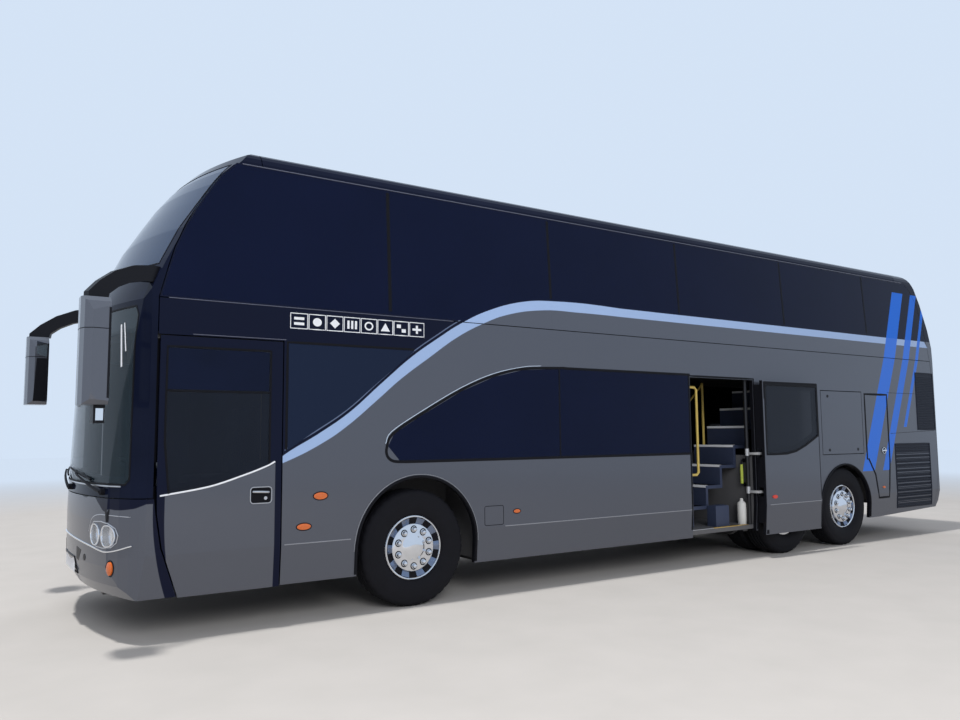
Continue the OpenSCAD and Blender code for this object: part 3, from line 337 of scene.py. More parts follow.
def screen_glass():
    """Clear in the lower screen, darker above and in the rear window; the blue-teal of the glass is partly a
    painted reflection of the sky.
    """
    t = Tree("screen_glass")
    x, _, z = t.xyz()
    low = t.mul(t.over(x, 0.0), t.under(z, 2.58, 0.02))
    band = t.mul(low, t.over(z, 2.36, 0.05))
    # the blue-teal tints are partly a painted reflection of the sky
    tint = t.mix(t.noise(1.2), (0.006, 0.016, 0.024), (0.01, 0.024, 0.034))
    dark = t.mix(t.noise(1.2), (0.007, 0.022, 0.064), (0.01, 0.03, 0.082))
    t.set(color=t.mix(low, dark, tint), rough=0.03,
          alpha=t.add(t.blend(low, 0.9, 0.46), t.mul(band, 0.4)), spec=0.35)
    return t.mat


def arm_steel():
    """Light grey with little metal at the levels of the arms, a painted reflection in place of the bright sky
    a polished arm mirrors; black enamel on the column between them.
    """
    t = Tree("door_linkage")
    z = t.xyz()[2]
    arm = t.add(t.within(z, 0.78, 0.865), t.within(z, 1.248, 1.335))
    n = t.noise(40.0)
    # the arms' light grey is a painted reflection
    t.set(color=t.mix(arm, (0.008, 0.008, 0.01), t.mix(n, (0.52, 0.53, 0.55), (0.62, 0.63, 0.65))),
          metal=t.mul(arm, 0.35), rough=t.line(n, 0.15, 0.25))
    return t.mat


M = {
    "paint": coachwork("coach_paint"),
    "door_paint": coachwork("front_door_paint", door=True),
    "rear_paint": coachwork("rear_panel_paint", rear=True),
    "leaf_paint": coachwork("middle_door_paint", leaf=True),
    "nose_paint": coachwork("front_panel_paint", nose=True),
    "side_glass": coachwork("side_glazing", glazed=True),
    # gloss black tinted navy: the blue is a painted reflection of the sky
    "black": plain("gloss_black_panel", (0.0058, 0.0082, 0.0212), 0.09, grain=2.0, vary=0.3, rough_vary=0.08,
                   spec=0.05, coat=0.01, coat_rough=0.03),
    "rubber": plain("rubber_seal", RUBBER, 0.62, grain=60, vary=0.3, bump=0.0006, spec=0.15),
    "matt": plain("moulded_black", (0.0055, 0.0055, 0.008), 0.4, grain=90, vary=0.25, bump=0.0004,
                  spec=0.2),
    "tyre": plain("tyre_rubber", (0.0072, 0.0072, 0.0095), 0.72, grain=14, vary=0.35, rough_vary=0.2,
                  bump=0.0009, spec=0.15),
    "chrome": plain("wheel_chrome", (0.7, 0.72, 0.76), 0.1, metal=1.0, grain=6, vary=0.08, rough_vary=0.1),
    "steel": plain("forged_steel", (0.1, 0.1, 0.105), 0.5, metal=0.7, grain=25, vary=0.3, bump=0.0008),
    "frame": plain("frame_enamel", (0.02, 0.02, 0.022), 0.45, grain=9, vary=0.4, bump=0.0006),
    "deck": plain("deck_covering", (0.1, 0.1, 0.105), 0.7, grain=130, vary=0.4, bump=0.0006),
    "step": plain("step_covering", srgb(50, 58, 80), 0.6, grain=150, vary=0.25, bump=0.0006),
    "yellow": plain("yellow_rail", srgb(196, 172, 92), 0.35, grain=12, vary=0.1),
    "white": plain("white_moulding", (0.66, 0.66, 0.64), 0.35, grain=10, vary=0.06),
    "shell": plain("mirror_shell", GREY, 0.3, metal=0.5, grain=500, vary=0.14, coat=0.6, coat_rough=0.05),
    "mirror": plain("mirror_glass", (0.8, 0.82, 0.84), 0.03, metal=1.0, grain=3, vary=0.03, rough_vary=0.02),
    "amber": plain("amber_lens", (0.56, 0.115, 0.014), 0.18, grain=160, vary=0.25, rough_vary=0.05, coat=0.5),
    "iron": plain("engine_iron", (0.07, 0.07, 0.075), 0.6, metal=0.3, grain=12, vary=0.4, bump=0.002),
    "film": plain("white_film", (0.74, 0.76, 0.8), 0.4, grain=20, vary=0.05),
    # beads on the creases and round the front arch: the beads are real, their light colour is a painted
    # highlight
    "bead": plain("bead_with_painted_highlight", srgb(126, 129, 136), 0.3, grain=30, vary=0.08),
    "strip": plain("light_strip", srgb(84, 87, 102), 0.35, grain=30, vary=0.08),
    "grille": plain("grille_slats", (0.0055, 0.0075, 0.017), 0.45, grain=70, vary=0.3, spec=0.15),
    # dark film tinted navy: the blue is partly a painted reflection of the sky
    "glaze": plain("dark_film", (0.003, 0.006, 0.022), 0.08, grain=3, vary=0.3, rough_vary=0.04, spec=0.12),
    "satin": plain("satin_steel", (0.56, 0.57, 0.6), 0.3, metal=0.95, grain=45, vary=0.08),
    "polish": plain("polished_trim", (0.78, 0.8, 0.84), 0.08, metal=1.0, grain=8, vary=0.06, rough_vary=0.05),
    # darker, bluish chrome for the recessed spokes: painted shade
    "spoke_shade": plain("chrome_with_painted_shade", (0.17, 0.21, 0.3), 0.16, metal=0.9, grain=14, vary=0.2, rough_vary=0.1),
    "gold": plain("gold_edge", (0.78, 0.52, 0.15), 0.3, metal=0.9, grain=50, vary=0.12),
    "lime": plain("lime_sleeve", srgb(168, 182, 74), 0.45, grain=40, vary=0.1),
    "red": plain("red_lens", (0.6, 0.03, 0.012), 0.16, grain=160, vary=0.25, rough_vary=0.05, coat=0.5),
    "door_glass": plain("door_glass", (0.006, 0.009, 0.018), 0.03, grain=1.5, vary=0.3, rough_vary=0.02,
                        alpha=0.66, spec=0.25),
    "linkage": arm_steel(), "cloth": seat_cloth(), "lens": lamp_lens(), "screen": screen_glass(),
}

# What each CAD node is made of
USES = {
    "paint": "left_side right_side upper_sides luggage_flap service_door engine_hatch",
    "leaf_paint": "middle_door", "door_paint": "front_door", "nose_paint": "front_panel",
    "rear_paint": "rear_panel", "side_glass": "side_glass", "screen": "screens",
    "door_glass": "front_door_glass middle_door_glass", "black": "roof front_mask", "lens": "lamps",
    "matt": "mirror_arms dashboard", "shell": "mirror_heads", "cloth": "seats", "yellow": "grab_rails",
    "iron": "engine_block", "frame": "chassis_frame front_axle rear_axles", "deck": "decks",
    "step": "staircase", "steel": "knuckle_left knuckle_right tie_rod",
    "linkage": "front_door_arms middle_door_arms",
    "chrome": " ".join(n for n in nodes if n.startswith("rim")),
    "tyre": " ".join(n for n in nodes if n.startswith("tyre")),
}
for m, names in USES.items():
    for n in names.split():
        nodes[n].data.materials.clear()
        nodes[n].data.materials.append(M[m])


def made(name, material, body="root"):
    """Builds the function below it into a piece at once; the function's name then holds the piece."""
    def run(build):
        bm = bmesh.new()
        build(bm)
        bmesh.ops.remove_doubles(bm, verts=bm.verts, dist=1e-6)
        bmesh.ops.recalc_face_normals(bm, faces=bm.faces)
        me = bpy.data.meshes.new(name)
        bm.to_mesh(me)
        bm.free()
        me.materials.append(M[material])
        me.polygons.foreach_set("use_smooth", [True] * len(me.polygons))
        me.set_sharp_from_angle(angle=math.radians(38))
        o = bpy.data.objects.new(name, me)
        bpy.context.scene.collection.objects.link(o)
        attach(o, body)
        return o
    return run


def made_of(name, material, add, *args, body="root", slot=None, **more):
    """A piece of one part: the helper that adds it, and what the helper takes."""
    made(name, material, body)(lambda bm: add(bm, *args, **more))


def circle(n):
    """Cosine and sine of n equal steps round a circle."""
    return [(math.cos(a), math.sin(a)) for a in (2 * math.pi * k / n for k in range(n))]


def oval(x, z, rx, rz, n=24):
    return [(x + rx * c, z + rz * q) for c, q in circle(n)]


def rect(x0, z0, x1, z1):
    return [(x0, z0), (x1, z0), (x1, z1), (x0, z1)]


def rounded(x0, z0, x1, z1, r, n=4):
    """A rectangle with round corners."""
    corners = ((x1 - r, z0 + r, -90), (x1 - r, z1 - r, 0), (x0 + r, z1 - r, 90), (x0 + r, z0 + r, 180))
    return [(x + r * math.cos(a), z + r * math.sin(a)) for x, z, start in corners
            for a in (math.radians(start + 90 * k / n) for k in range(n + 1))]


def split(pts, step):
    """Points put in between so that no gap is longer than step."""
    out = [pts[0]]
    for a, b in zip(pts, pts[1:]):
        n = max(1, math.ceil(math.dist(a, b) / step))
        out += [tuple(p + (q - p) * k / n for p, q in zip(a, b)) for k in range(1, n + 1)]
    return out


def smooth_line(pts, n=5):
    """A curve through the points (Catmull-Rom)."""
    pts = [Vector(p) for p in pts]
    ext = [pts[0] * 2 - pts[1]] + pts + [pts[-1] * 2 - pts[-2]]
    out = []
    for a, b, c, d in zip(ext, ext[1:], ext[2:], ext[3:]):
        for t in (k / n for k in range(n)):
            out.append(tuple(0.5 * (2 * b + (c - a) * t + (2 * a - 5 * b + 4 * c - d) * t * t
                                    + (3 * b - a - 3 * c + d) * t ** 3)))
    return out + [tuple(pts[-1])]


def add_loops(bm, loops, caps=True, ring=False):
    """Skins a row of equal loops of points; a ring joins the last loop to the first."""
    rows = [[bm.verts.new(p) for p in loop] for loop in loops]
    n = len(rows[0])
    for a, b in zip(rows, rows[1:] + rows[:1] if ring else rows[1:]):
        for i in range(n):
            bm.faces.new((a[i], a[(i + 1) % n], b[(i + 1) % n], b[i]))
    if caps and not ring:
        bm.faces.new(rows[0])
        bm.faces.new(rows[-1][::-1])
    return rows


def add_box(bm, lo, hi):
    add_loops(bm, [[(x, y, z) for x, y in rect(*lo[:2], *hi[:2])] for z in (lo[2], hi[2])])


def add_tube(bm, pts, r, sides=10):
    """A round bar along a line of points; r may be one radius or one a point."""
    pts = [Vector(p) for p in pts]
    radii = r if isinstance(r, list) else [r] * len(pts)
    up = (pts[1] - pts[0]).normalized().orthogonal().normalized()
    loops = []
    for i, p in enumerate(pts):
        d = (pts[min(i + 1, len(pts) - 1)] - pts[max(i - 1, 0)]).normalized()
        up = (up - d * up.dot(d)).normalized()
        side = d.cross(up)
        loops.append([p + (up * c + side * q) * radii[i] for c, q in circle(sides)])
    add_loops(bm, loops)


def add_turned(bm, profile, centre, steps, s):
    """Turns a closed profile of (radius, place across) about a line along Y."""
    x, y, z = centre
    return add_loops(bm, [[(x + r * c, y + s * w, z + r * q) for r, w in profile] for c, q in circle(steps)],
                     ring=True)


def look(pos, yaw, pitch, roll, focal, wide=960.0):
    """Camera: place, yaw, pitch and roll in degrees, focal length in pixels of a picture this wide."""
    yaw, pitch, roll = map(math.radians, (yaw, pitch, roll))
    fwd = Vector((math.cos(yaw) * math.cos(pitch), math.sin(yaw) * math.cos(pitch), math.sin(pitch)))
    right = Vector((math.sin(yaw), -math.cos(yaw), 0))
    up = right.cross(fwd)
    right, up = (right * math.cos(roll) + up * math.sin(roll), up * math.cos(roll) - right * math.sin(roll))
    cam = bpy.data.cameras.new("camera")
    cam.sensor_width = 36.0
    cam.lens = focal / wide * cam.sensor_width
    cam.clip_end = 200.0
    o = bpy.data.objects.new("camera", cam)
    m = Matrix((right, up, -fwd)).transposed().to_4x4()
    m.translation = pos
    o.matrix_world = m
    bpy.context.scene.collection.objects.link(o)
    bpy.context.scene.camera = o


look((6.75, 7.69, 1.543), -123.636, 5.306, -0.429, 796.1)

# Tyres: half of the section as radius and place across, outer face first; then its inside
TREAD = [(0.286, -0.113), (0.3, -0.118), (0.306, -0.126), (0.322, -0.13), (0.345, -0.141),
         (0.38, -0.1455), (0.42, -0.146), (0.452, -0.1445), (0.462, -0.14), (0.474, -0.1425),
         (0.498, -0.133), (0.512, -0.122), (0.519, -0.112), (0.5205, -0.08), (0.5205, -0.0765),
         (0.508, -0.075), (0.508, -0.066), (0.521, -0.0645), (0.5218, -0.03), (0.509, -0.0285),
         (0.509, -0.0195), (0.5219, -0.018)]
TREAD = TREAD + [(r, -w) for r, w in TREAD[::-1]]
INNER = [(0.292, 0.108), (0.3, 0.0), (0.292, -0.108)]
TWIN_GAP = 0.33


def add_tyre(bm, x, s, y, steps=144):
    """A tyre with notches across its shoulders and fine marks across its ribs."""
    rows = add_turned(bm, TREAD + INNER, (x, s * y, AZ), steps, s)
    shoulder = [i for i, (r, w) in enumerate(TREAD) if 0.512 <= r and abs(w) > 0.07]
    rib = [i for i, (r, w) in enumerate(TREAD) if r > 0.515 and abs(w) < 0.07]
    for places, every, depth in ((shoulder, 4, 0.007), (rib, 2, 0.0015)):
        for (c, q), row in list(zip(circle(steps), rows))[::every]:
            for k in places:
                row[k].co -= Vector((c, 0, q)) * depth


WHEELS = [(axle + side, x, s, body + axle + side)
          for axle, x, body in (("front", AXLE, "wheel_"), ("tag", TAG, "wheel_"),
                                ("drive", DRIVE, "wheels_")) for side, s in (("_left", 1), ("_right", -1))]
for name, x, s, body in WHEELS:
    twin = name.startswith("drive")

    @made("tread_" + name, "tyre", body)
    def tread(bm):
        for y in (TRACK, TRACK - TWIN_GAP)[:1 + twin]:
            add_tyre(bm, x, s, y)
    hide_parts(("tyres_" if twin else "tyre_") + name)

# Wheel trims as radius and height: nut covers and their rings, the polished cover of a front or tag wheel,
# its bright rim, the dark ring with the vents (painted shade seen through them), and the spokes between them
# (painted shade)
NUT = [(0.0, 0.05), (0.007, 0.0485), (0.0125, 0.044), (0.0165, 0.036), (0.018, 0.01), (0.0215, 0.006),
       (0.0225, 0.0)]
BIG_NUT = [(r * 1.18, h * 0.8) for r, h in NUT]
NUT_RING = [(0.0, 0.003), (0.033, 0.0026), (0.0345, 0.0)]
COVER = [(0.0006, 0.152), (0.03, 0.1512), (0.055, 0.149), (0.078, 0.144), (0.095, 0.136),
         (0.106, 0.128), (0.116, 0.124), (0.126, 0.1228), (0.196, 0.1215), (0.208, 0.118),
         (0.2165, 0.108), (0.22, 0.095)]
COVER = COVER + [(r - 0.0012 if r > 0.19 else r, w - 0.0018) for r, w in COVER[::-1]]
COVER_RIM = [(0.27, 0.117), (0.274, 0.1235), (0.28, 0.1245), (0.2845, 0.1215), (0.284, 0.113)]
VENTS = [(0.2195, 0.0915), (0.2195, 0.0935), (0.245, 0.101), (0.269, 0.1125), (0.269, 0.1105),
         (0.245, 0.099)]
SPOKE = [(0.22, 0.0945), (0.23, 0.0985), (0.245, 0.103), (0.26, 0.1095), (0.268, 0.1135)]
SPOKE_EDGE = [(-9, 0), (-7, 0.0035), (7, 0.0035), (9, 0)]
NUTS = 10


def on_wheel(x, s, r, w, degrees):
    """A place on a wheel, from its radius, its distance out from the track and its turn."""
    a = math.radians(degrees)
    return (x + r * math.cos(a), s * (TRACK + w), AZ + r * math.sin(a))


def add_knobs(bm, places, profile, s, sides=14):
    """Round caps that face outwards; their profile of radius and height starts at the tip."""
    for x, y, z in places:
        rows = add_loops(bm, [[(x + r * c, y + s * h, z + r * q) for c, q in circle(sides)]
                              for r, h in profile[1:]], caps=False)
        tip = bm.verts.new((x, y + s * profile[0][1], z))
        for i in range(sides):
            bm.faces.new((rows[0][i], rows[0][(i + 1) % sides], tip))
        bm.faces.new(rows[-1])


for name, x, s, body in WHEELS:
    twin = name.startswith("drive")
    middle = (x, s * TRACK, AZ)
    radius, height = (0.118, 0.062) if twin else (0.164, 0.1212)
    nuts = [on_wheel(x, s, radius, height, 360 / NUTS * (i + 0.5)) for i in range(NUTS)]

    made_of("nuts_" + name, "chrome", add_knobs, nuts, NUT if twin else BIG_NUT, s, body=body,
            slot="wheel_chrome")
    if twin:
        continue

    # the dark ring stands in for the shade seen through the vents: painted shade
    @made("vent_ring_" + name, "tyre", body)
    def vent_ring(bm):
        add_knobs(bm, nuts, NUT_RING, s, 20)
        add_turned(bm, VENTS, middle, 72, s)

    @made("wheel_cover_" + name, "chrome", body)
    def wheel_cover(bm):
        add_turned(bm, COVER, middle, 64, s)
        add_turned(bm, COVER_RIM, middle, 72, s)

    # the spokes' darker chrome is painted shade
    @made("vent_spokes_" + name, "spoke_shade", body)
    def vent_spokes(bm):
        for i in range(NUTS):
            add_loops(bm, [[on_wheel(x, s, r, w + h, 360 / NUTS * i + turn) for turn, h in SPOKE_EDGE]
                           for r, w in SPOKE])


NONE = Vector((0, 0, 0))                      # no shift


def slope(f, v, e=0.01):
    return (f(v + e) - f(v - e)) / (2 * e)


def on_side(x, z, s=1, out=0.0):
    """A place on the side's skin, or out from it; on_nose and on_tail give the same for the ends."""
    return Vector((AXLE + x, s * (skin_y(z) + out), z))


def side_way(z, s):
    """The way the side's skin faces; nose_way and tail_way give the same for the ends."""
    return Vector((0, s, -slope(skin_y, z))).normalized()


def nose_way(y, z):
    return Vector((1, -slope(lambda v: nose_x(v, z), y, 0.004),
                   -slope(lambda v: nose_x(y, v), z, 0.004))).normalized()


def on_nose(y, z, out=0.0):
    return Vector((nose_x(y, z), y, z)) + nose_way(y, z) * out


def on_tail(y, z, out=0.0):
    return Vector((tail_x(z) - out, y, z))


def tail_way(y, z):
    return Vector((-1, 0, slope(tail_x, z))).normalized()


def add_band(bm, pts, step, place, way, width, proud, ring, sunk=0.003):
    """A low bead on a skin: width across it, proud of it, rounded at its two edges."""
    pts = split(pts + pts[:1], step)[:-1] if ring else split(pts, step)
    ways = [way(*p) for p in pts]
    pts = [place(*p) for p in pts]
    n = len(pts)
    loops = []
    for i, (p, w) in enumerate(zip(pts, ways)):
        a = pts[(i - 1) % n] if ring or i else p
        b = pts[(i + 1) % n] if ring or i < n - 1 else p
        d = w.cross((b - a).normalized()).normalized() * (width / 2)
        loops.append([p - d - w * sunk, p - d + w * proud * 0.5, p - d * 0.6 + w * proud,
                      p + d * 0.6 + w * proud, p + d + w * proud * 0.5, p + d - w * sunk])
    add_loops(bm, loops + loops[:1] if ring else loops, caps=not ring)


def side_band(bm, pts, width, proud, ring=False, s=1, shift=NONE, sunk=0.003):
    add_band(bm, pts, 0.15, lambda x, z: on_side(x, z, s) + shift, lambda x, z: side_way(z, s),
             width, proud, ring, sunk)


def nose_band(bm, pts, width, proud, ring=False, sunk=0.003):
    add_band(bm, pts, 0.05, on_nose, nose_way, width, proud, ring, sunk)


def tail_band(bm, pts, width, proud, ring=False):
    add_band(bm, pts, 0.05, on_tail, tail_way, width, proud, ring)


def side_plate(bm, outline, out, s=1, deep=0.002, shift=NONE):
    """A thin plate on the side from an outline in x and z."""
    add_loops(bm, [[on_side(x, z, s, d) + shift for x, z in outline] for d in (-deep, out)])


def nose_plate(bm, outline, out, deep=0.002):
    """A thin plate on the nose: a fan of faces about its middle."""
    rim = split(outline + outline[:1], 0.03)[:-1]
    n = len(rim)
    my, mz = (sum(p[i] for p in rim) / n for i in (0, 1))
    rings = []
    for d, turn in ((out, 1), (-deep, -1)):
        ring = [bm.verts.new(on_nose(y, z, d)) for y, z in rim]
        half = [bm.verts.new(on_nose((y + my) / 2, (z + mz) / 2, d)) for y, z in rim]
        tip = bm.verts.new(on_nose(my, mz, d))
        for i in range(n):
            j = (i + 1) % n
            bm.faces.new((ring[i], ring[j], half[j], half[i])[::turn])
            bm.faces.new((half[i], half[j], tip)[::turn])
        rings.append(ring)
    top, foot = rings
    for i in range(n):
        j = (i + 1) % n
        bm.faces.new((top[j], top[i], foot[i], foot[j]))


def tail_plate(bm, y0, z0, y1, z1, out, deep=0.002, n=6):
    add_loops(bm, [[on_tail(y, z, d) for y, d in ((y0, out), (y1, out), (y1, -deep), (y0, -deep))]
                   for z in (z0 + (z1 - z0) * k / n for k in range(n + 1))])


def banded(name, material, rows, s):
    """A piece of bands on the side: each row is a line of points, a width, how proud, and maybe ring."""
    made(name, material)(lambda bm: [side_band(bm, *row, s=s) for row in rows])


# Trim of both sides. Lengths are counted from the front axle.
LEAF = Vector((-1.135, LEAF_OUT, 0.0))         # where the open leaf stands from its shut place
ARCHES = [(-0.03, 0.54, 0.61), (-5.42, 0.5, 0.58), (-6.72, 0.5, 0.58)]
CREASE = 0.65
CREASE_RUNS = {1: [(0.645, 1.235), (-0.985, -3.63)], -1: [(0.645, 2.22), (-0.7, -4.83), (-7.345, -7.9)]}
JOINTS = [(0.27, 0.034, 2.66), (-1.61, 0.03, 2.945), (-3.54, 0.03, 2.945), (-5.53, 0.03, 2.945),
          (-7.45, 0.03, 2.96)]
# The lower windows: ends at the rear, foot, top, slanted edge, and the bright line beside it
PANE_END = {1: -3.665, -1: -5.53}
PANE_FOOT, PANE_TOP = 1.297, 2.219
SLANT = smooth_line([(0.1, PANE_FOOT), (0.235, 1.306), (0.297, 1.352), (0.303, 1.43), (0.245, 1.548),
                     (-0.035, 1.722), (-0.485, 1.962), (-0.865, 2.111), (-1.22, 2.192), (-1.69, PANE_TOP),
                     (-1.8, PANE_TOP)], 4)
SLANT_BEAD = smooth_line([(0.315, 1.462), (0.258, 1.568), (-0.028, 1.742), (-0.48, 1.982), (-0.86, 2.131),
                          (-1.22, 2.211), (-1.45, 2.231)], 4)
DRIVER_PANE = [(1.332, 1.256), (2.188, 1.174), (2.188, 2.318), (1.332, 2.318)]
GRILLES = [(-9.165, 1.56, -8.665, 2.42), (-8.965, 0.43, -8.005, 1.35)]
SLAT, SLAT_PITCH = ((-0.008, 0.001), (-0.009, 0.0075), (-0.005, 0.008), (0.006, 0.001)), 0.026
MARKS = [(0.925, 1.032, 0.062, 0.03), (1.07, 0.785, 0.062, 0.026), (-1.127, 0.785, 0.04, 0.018)]
RIGHT_MARKS = [(-4.0, 0.785, 0.04, 0.018), (-8.45, 1.43, 0.04, 0.018)]
LENS_DOME = ((0.001, 1.0), (0.0035, 0.96), (0.0048, 0.8))


def arch_line(arch, more):
    """The line of a wheel arch, grown by more."""
    x, z, r = arch[0], arch[1], arch[2] + more
    return ([(x + r, 0.345), (x + r, z)] + [(x + r * c, z + r * q) for c, q in circle(64)[1:32]]
            + [(x - r, z), (x - r, 0.345)])


for tag, s in (("left", 1), ("right", -1)):
    left = s > 0
    banded("arch_lips_" + tag, "rubber", [(arch_line(a, 0.011), 0.024, 0.012) for a in ARCHES], s)
    # the crease bead's light colour is a painted highlight
    banded("crease_bead_" + tag, "bead", [(arch_line(ARCHES[0], 0.03)[1:-1], 0.007, 0.004)]
           + [([(a, CREASE), (b, CREASE)], 0.009, 0.003) for a, b in CREASE_RUNS[s]], s)
    banded("pane_joints_" + tag, "rubber", [([(a, foot), (a, 3.78)], w, 0.0012) for a, w, foot in JOINTS], s)

    end = PANE_END[s]
    banded("pane_borders_" + tag, "rubber",
           [([(end, PANE_FOOT)] + SLANT + [(end, PANE_TOP)], 0.026, 0.003, not left)]
           + ([] if left else [(DRIVER_PANE, 0.02, 0.002, True)])
           + [([(a, 1.3), (a, 2.215)], 0.016, 0.0018) for a in (-1.69, -3.64) if a > end]
           + [([(1.232, 1.425), (1.232, 2.322), (0.03, 2.322)], 0.02, 0.002)], s)
    banded("pane_bead_" + tag, "polish", [(SLANT_BEAD, 0.007, 0.003)], s)

    # roof gutter, under the upper glass, above the front door
    banded("light_strips_" + tag, "strip",
           [([(1.62, 3.808), (-8.55, 3.808)], 0.008, 0.003),
            ([(2.19, 2.6165), (-0.4, 2.6165)], 0.006, 0.002)]
           + ([([(2.0, 2.34), (1.245, 2.34)], 0.007, 0.005)] if left else []), s)
    banded("seams_" + tag, "rubber",
           [([(-7.9, 1.505), (-9.15, 1.545)], 0.005, 0.0008),
            ([(-7.86, 2.1), (-8.62, 2.1)], 0.005, 0.0008)]
           + ([(rounded(-0.965, 0.668, -0.745, 0.85, 0.018), 0.006, 0.0012, True)] if left else []), s)

    @made("side_grilles_" + tag, "grille")
    def grille(bm):
        for x0, z0, x1, z1 in GRILLES:
            # the black plate behind the slats stands in for the shade in the bay behind the grille: painted
            # shade
            side_plate(bm, rect(x0, z0, x1, z1), 0.0015, s)
            side_band(bm, rect(x0, z0, x1, z1), 0.022, 0.007, True, s)
            for k in range(int((z1 - z0 - 0.03) / SLAT_PITCH)):
                add_loops(bm, [[on_side(a, z0 + (k + 1) * SLAT_PITCH + h, s, out) for h, out in SLAT]
                               for a in (x0 + 0.012, x1 - 0.012)])

    marks = MARKS + ([] if left else RIGHT_MARKS)

    @made("marker_bezels_" + tag, "matt")
    def bezels(bm):
        for x, z, rx, rz in marks:
            side_plate(bm, oval(x, z, rx + 0.008, rz + 0.008), 0.0022, s)

    @made("marker_lenses_" + tag, "amber")
    def lenses(bm):
        for x, z, rx, rz in marks:
            add_loops(bm, [[on_side(*p, s, d) for p in oval(x, z, rx * f, rz * f)] for d, f in LENS_DOME])


# Eight white squares over the front axle, each with simple shapes about its middle; the fifth holds a ring
SIGNS = [[rect(-0.045, -0.035, 0.045, -0.012), rect(-0.045, 0.01, 0.045, 0.033)],
         [oval(0, 0, 0.04, 0.036)],
         [[(0, -0.042), (0.046, 0), (0, 0.042), (-0.046, 0)]],
         [rect(k - 0.01, -0.036, k + 0.01, 0.036) for k in (-0.036, 0.0, 0.036)],
         [],
         [[(-0.046, -0.036), (0.046, -0.036), (0, 0.038)]],
         [rect(-0.046, -0.036, -0.004, -0.004), rect(0.004, 0.004, 0.046, 0.036)],
         [rect(-0.046, -0.01, 0.046, 0.01), rect(-0.011, 0.011, 0.011, 0.038),
          rect(-0.011, -0.038, 0.011, -0.011)]]
SIGN_Z, SIGN_PITCH, SIGN_WIDE, SIGN_HIGH = 2.508, 0.1625, 0.15, 0.128


@made("white_squares", "film")
def squares(bm):
    for i, sign in enumerate(SIGNS):
        x, z = 1.216 - (i + 0.5) * SIGN_PITCH, SIGN_Z
        border = rect(x - SIGN_WIDE / 2, z - SIGN_HIGH / 2, x + SIGN_WIDE / 2, z + SIGN_HIGH / 2)
        side_band(bm, border, 0.009, 0.0012, True, sunk=0.0004)
        for outline in sign:
            side_plate(bm, [(x + a, z + b) for a, b in outline], 0.0012, deep=0.0004)
        if not sign:
            side_band(bm, oval(x, z, 0.036, 0.032), 0.014, 0.0012, True, sunk=0.0004)


# Front door: seal behind its post, trim line under the glass, tinted header, seals, handle
DOOR_LINE = smooth_line([(2.215, 1.093), (1.85, 1.148), (1.58, 1.228), (1.4, 1.292), (1.325, 1.33)])
made_of("door_post_seal", "rubber", add_box, (AXLE + 2.206, 1.208, 1.345), (AXLE + 2.3, 1.216, 2.312))
made_of("door_trim_line", "film", side_band, DOOR_LINE, 0.013, 0.003, body="front_door")
made_of("door_header_tint", "glaze", side_plate, rect(1.385, 1.905, 2.185, 2.225), 0.0015, body="front_door")


@made("door_seals", "rubber", "front_door")
def door_seals(bm):
    for line in ([(1.372, 1.893), (2.188, 1.893)],
                 [(1.372, 2.238), (2.188, 2.238), (2.19, 1.5), (2.152, 1.106)],
                 [(1.372, 2.238), (1.372, 1.322)]):
        side_band(bm, line, 0.016, 0.004)
    side_plate(bm, rounded(1.357, 1.004, 1.518, 1.122, 0.02), 0.0012)


@made("door_handle", "satin", "front_door")
def door_handle(bm):
    side_band(bm, rounded(1.35, 0.998, 1.525, 1.128, 0.026), 0.009, 0.006, True)
    add_tube(bm, [on_side(x, z, 1, out) for x, z, out in (
        (1.375, 1.085, 0.004), (1.385, 1.086, 0.016), (1.44, 1.09, 0.019), (1.492, 1.092, 0.016),
        (1.502, 1.092, 0.004))], 0.01)
    side_plate(bm, oval(1.4, 1.038, 0.014, 0.014, 16), 0.006)


# Open middle door: black edges, window border, inner nosing beside the front edge, marker, crease bead
LEAF_PANE = [(-4.77, 1.49), (-4.5, 1.37), (-4.3, 1.3), (-4.1, 1.27), (-3.71, 1.265),
             (-3.71, 2.13), (-4.77, 2.13)]
NOSING = [(-3.674, -0.045), (-3.735, -0.045), (-3.735, -0.1), (-3.723, -0.122), (-3.705, -0.13),
          (-3.674, -0.13)]                   # length, and distance in from the skin


@made("leaf_edges", "rubber", "middle_door")
def leaf_edges(bm):
    side_band(bm, [(-4.78, 2.155), (-3.7, 2.155)], 0.03, 0.003, shift=LEAF)
    side_plate(bm, rect(-3.725, 0.3, -3.682, 2.165), 0.003, shift=LEAF)
    side_band(bm, [(-4.792, 0.305), (-4.792, 2.165)], 0.01, 0.002, shift=LEAF)
    side_band(bm, LEAF_PANE, 0.03, 0.004, True, shift=LEAF)
    for ends in ((0.425, 0.75), (0.86, 1.225), (1.335, 2.13)):
        add_loops(bm, [[Vector((AXLE + x, HW + y, z)) + LEAF for x, y in NOSING] for z in ends])


made_of("leaf_marker", "red", side_plate, oval(-3.828, 0.745, 0.046, 0.022), 0.009, body="middle_door",
        shift=LEAF)
# the crease bead's light colour is a painted highlight
made_of("leaf_crease_bead", "bead", side_band, [(-4.78, CREASE), (-3.735, CREASE)], 0.009, 0.003,
        body="middle_door", shift=LEAF)

# Middle doorway: step box, frame, sill, grab handle, sleeve on its stem, white cylinder cover
DECK, UPPER_DECK, SILL = 0.4003, 2.3503, 0.4002  # just above the two floors and the sill
STEM = AXLE - 4.757
GRAB_Z = 1.56
GRAB = [(-3.64, 1.222, 0.525), (-3.64, 1.135, 0.525), (-3.665, 1.11, 0.525), (-3.92, 1.11, 0.525),
        (-3.95, 1.11, 0.495)]                # upper half of the handle: length, across, above its middle
CYLINDER = [(0.014, 0.717), (0.02, 0.712), (0.021, 0.69), (0.03, 0.678), (0.05, 0.66),
            (0.056, 0.645), (0.056, 0.44), (0.052, 0.425), (0.052, DECK)]


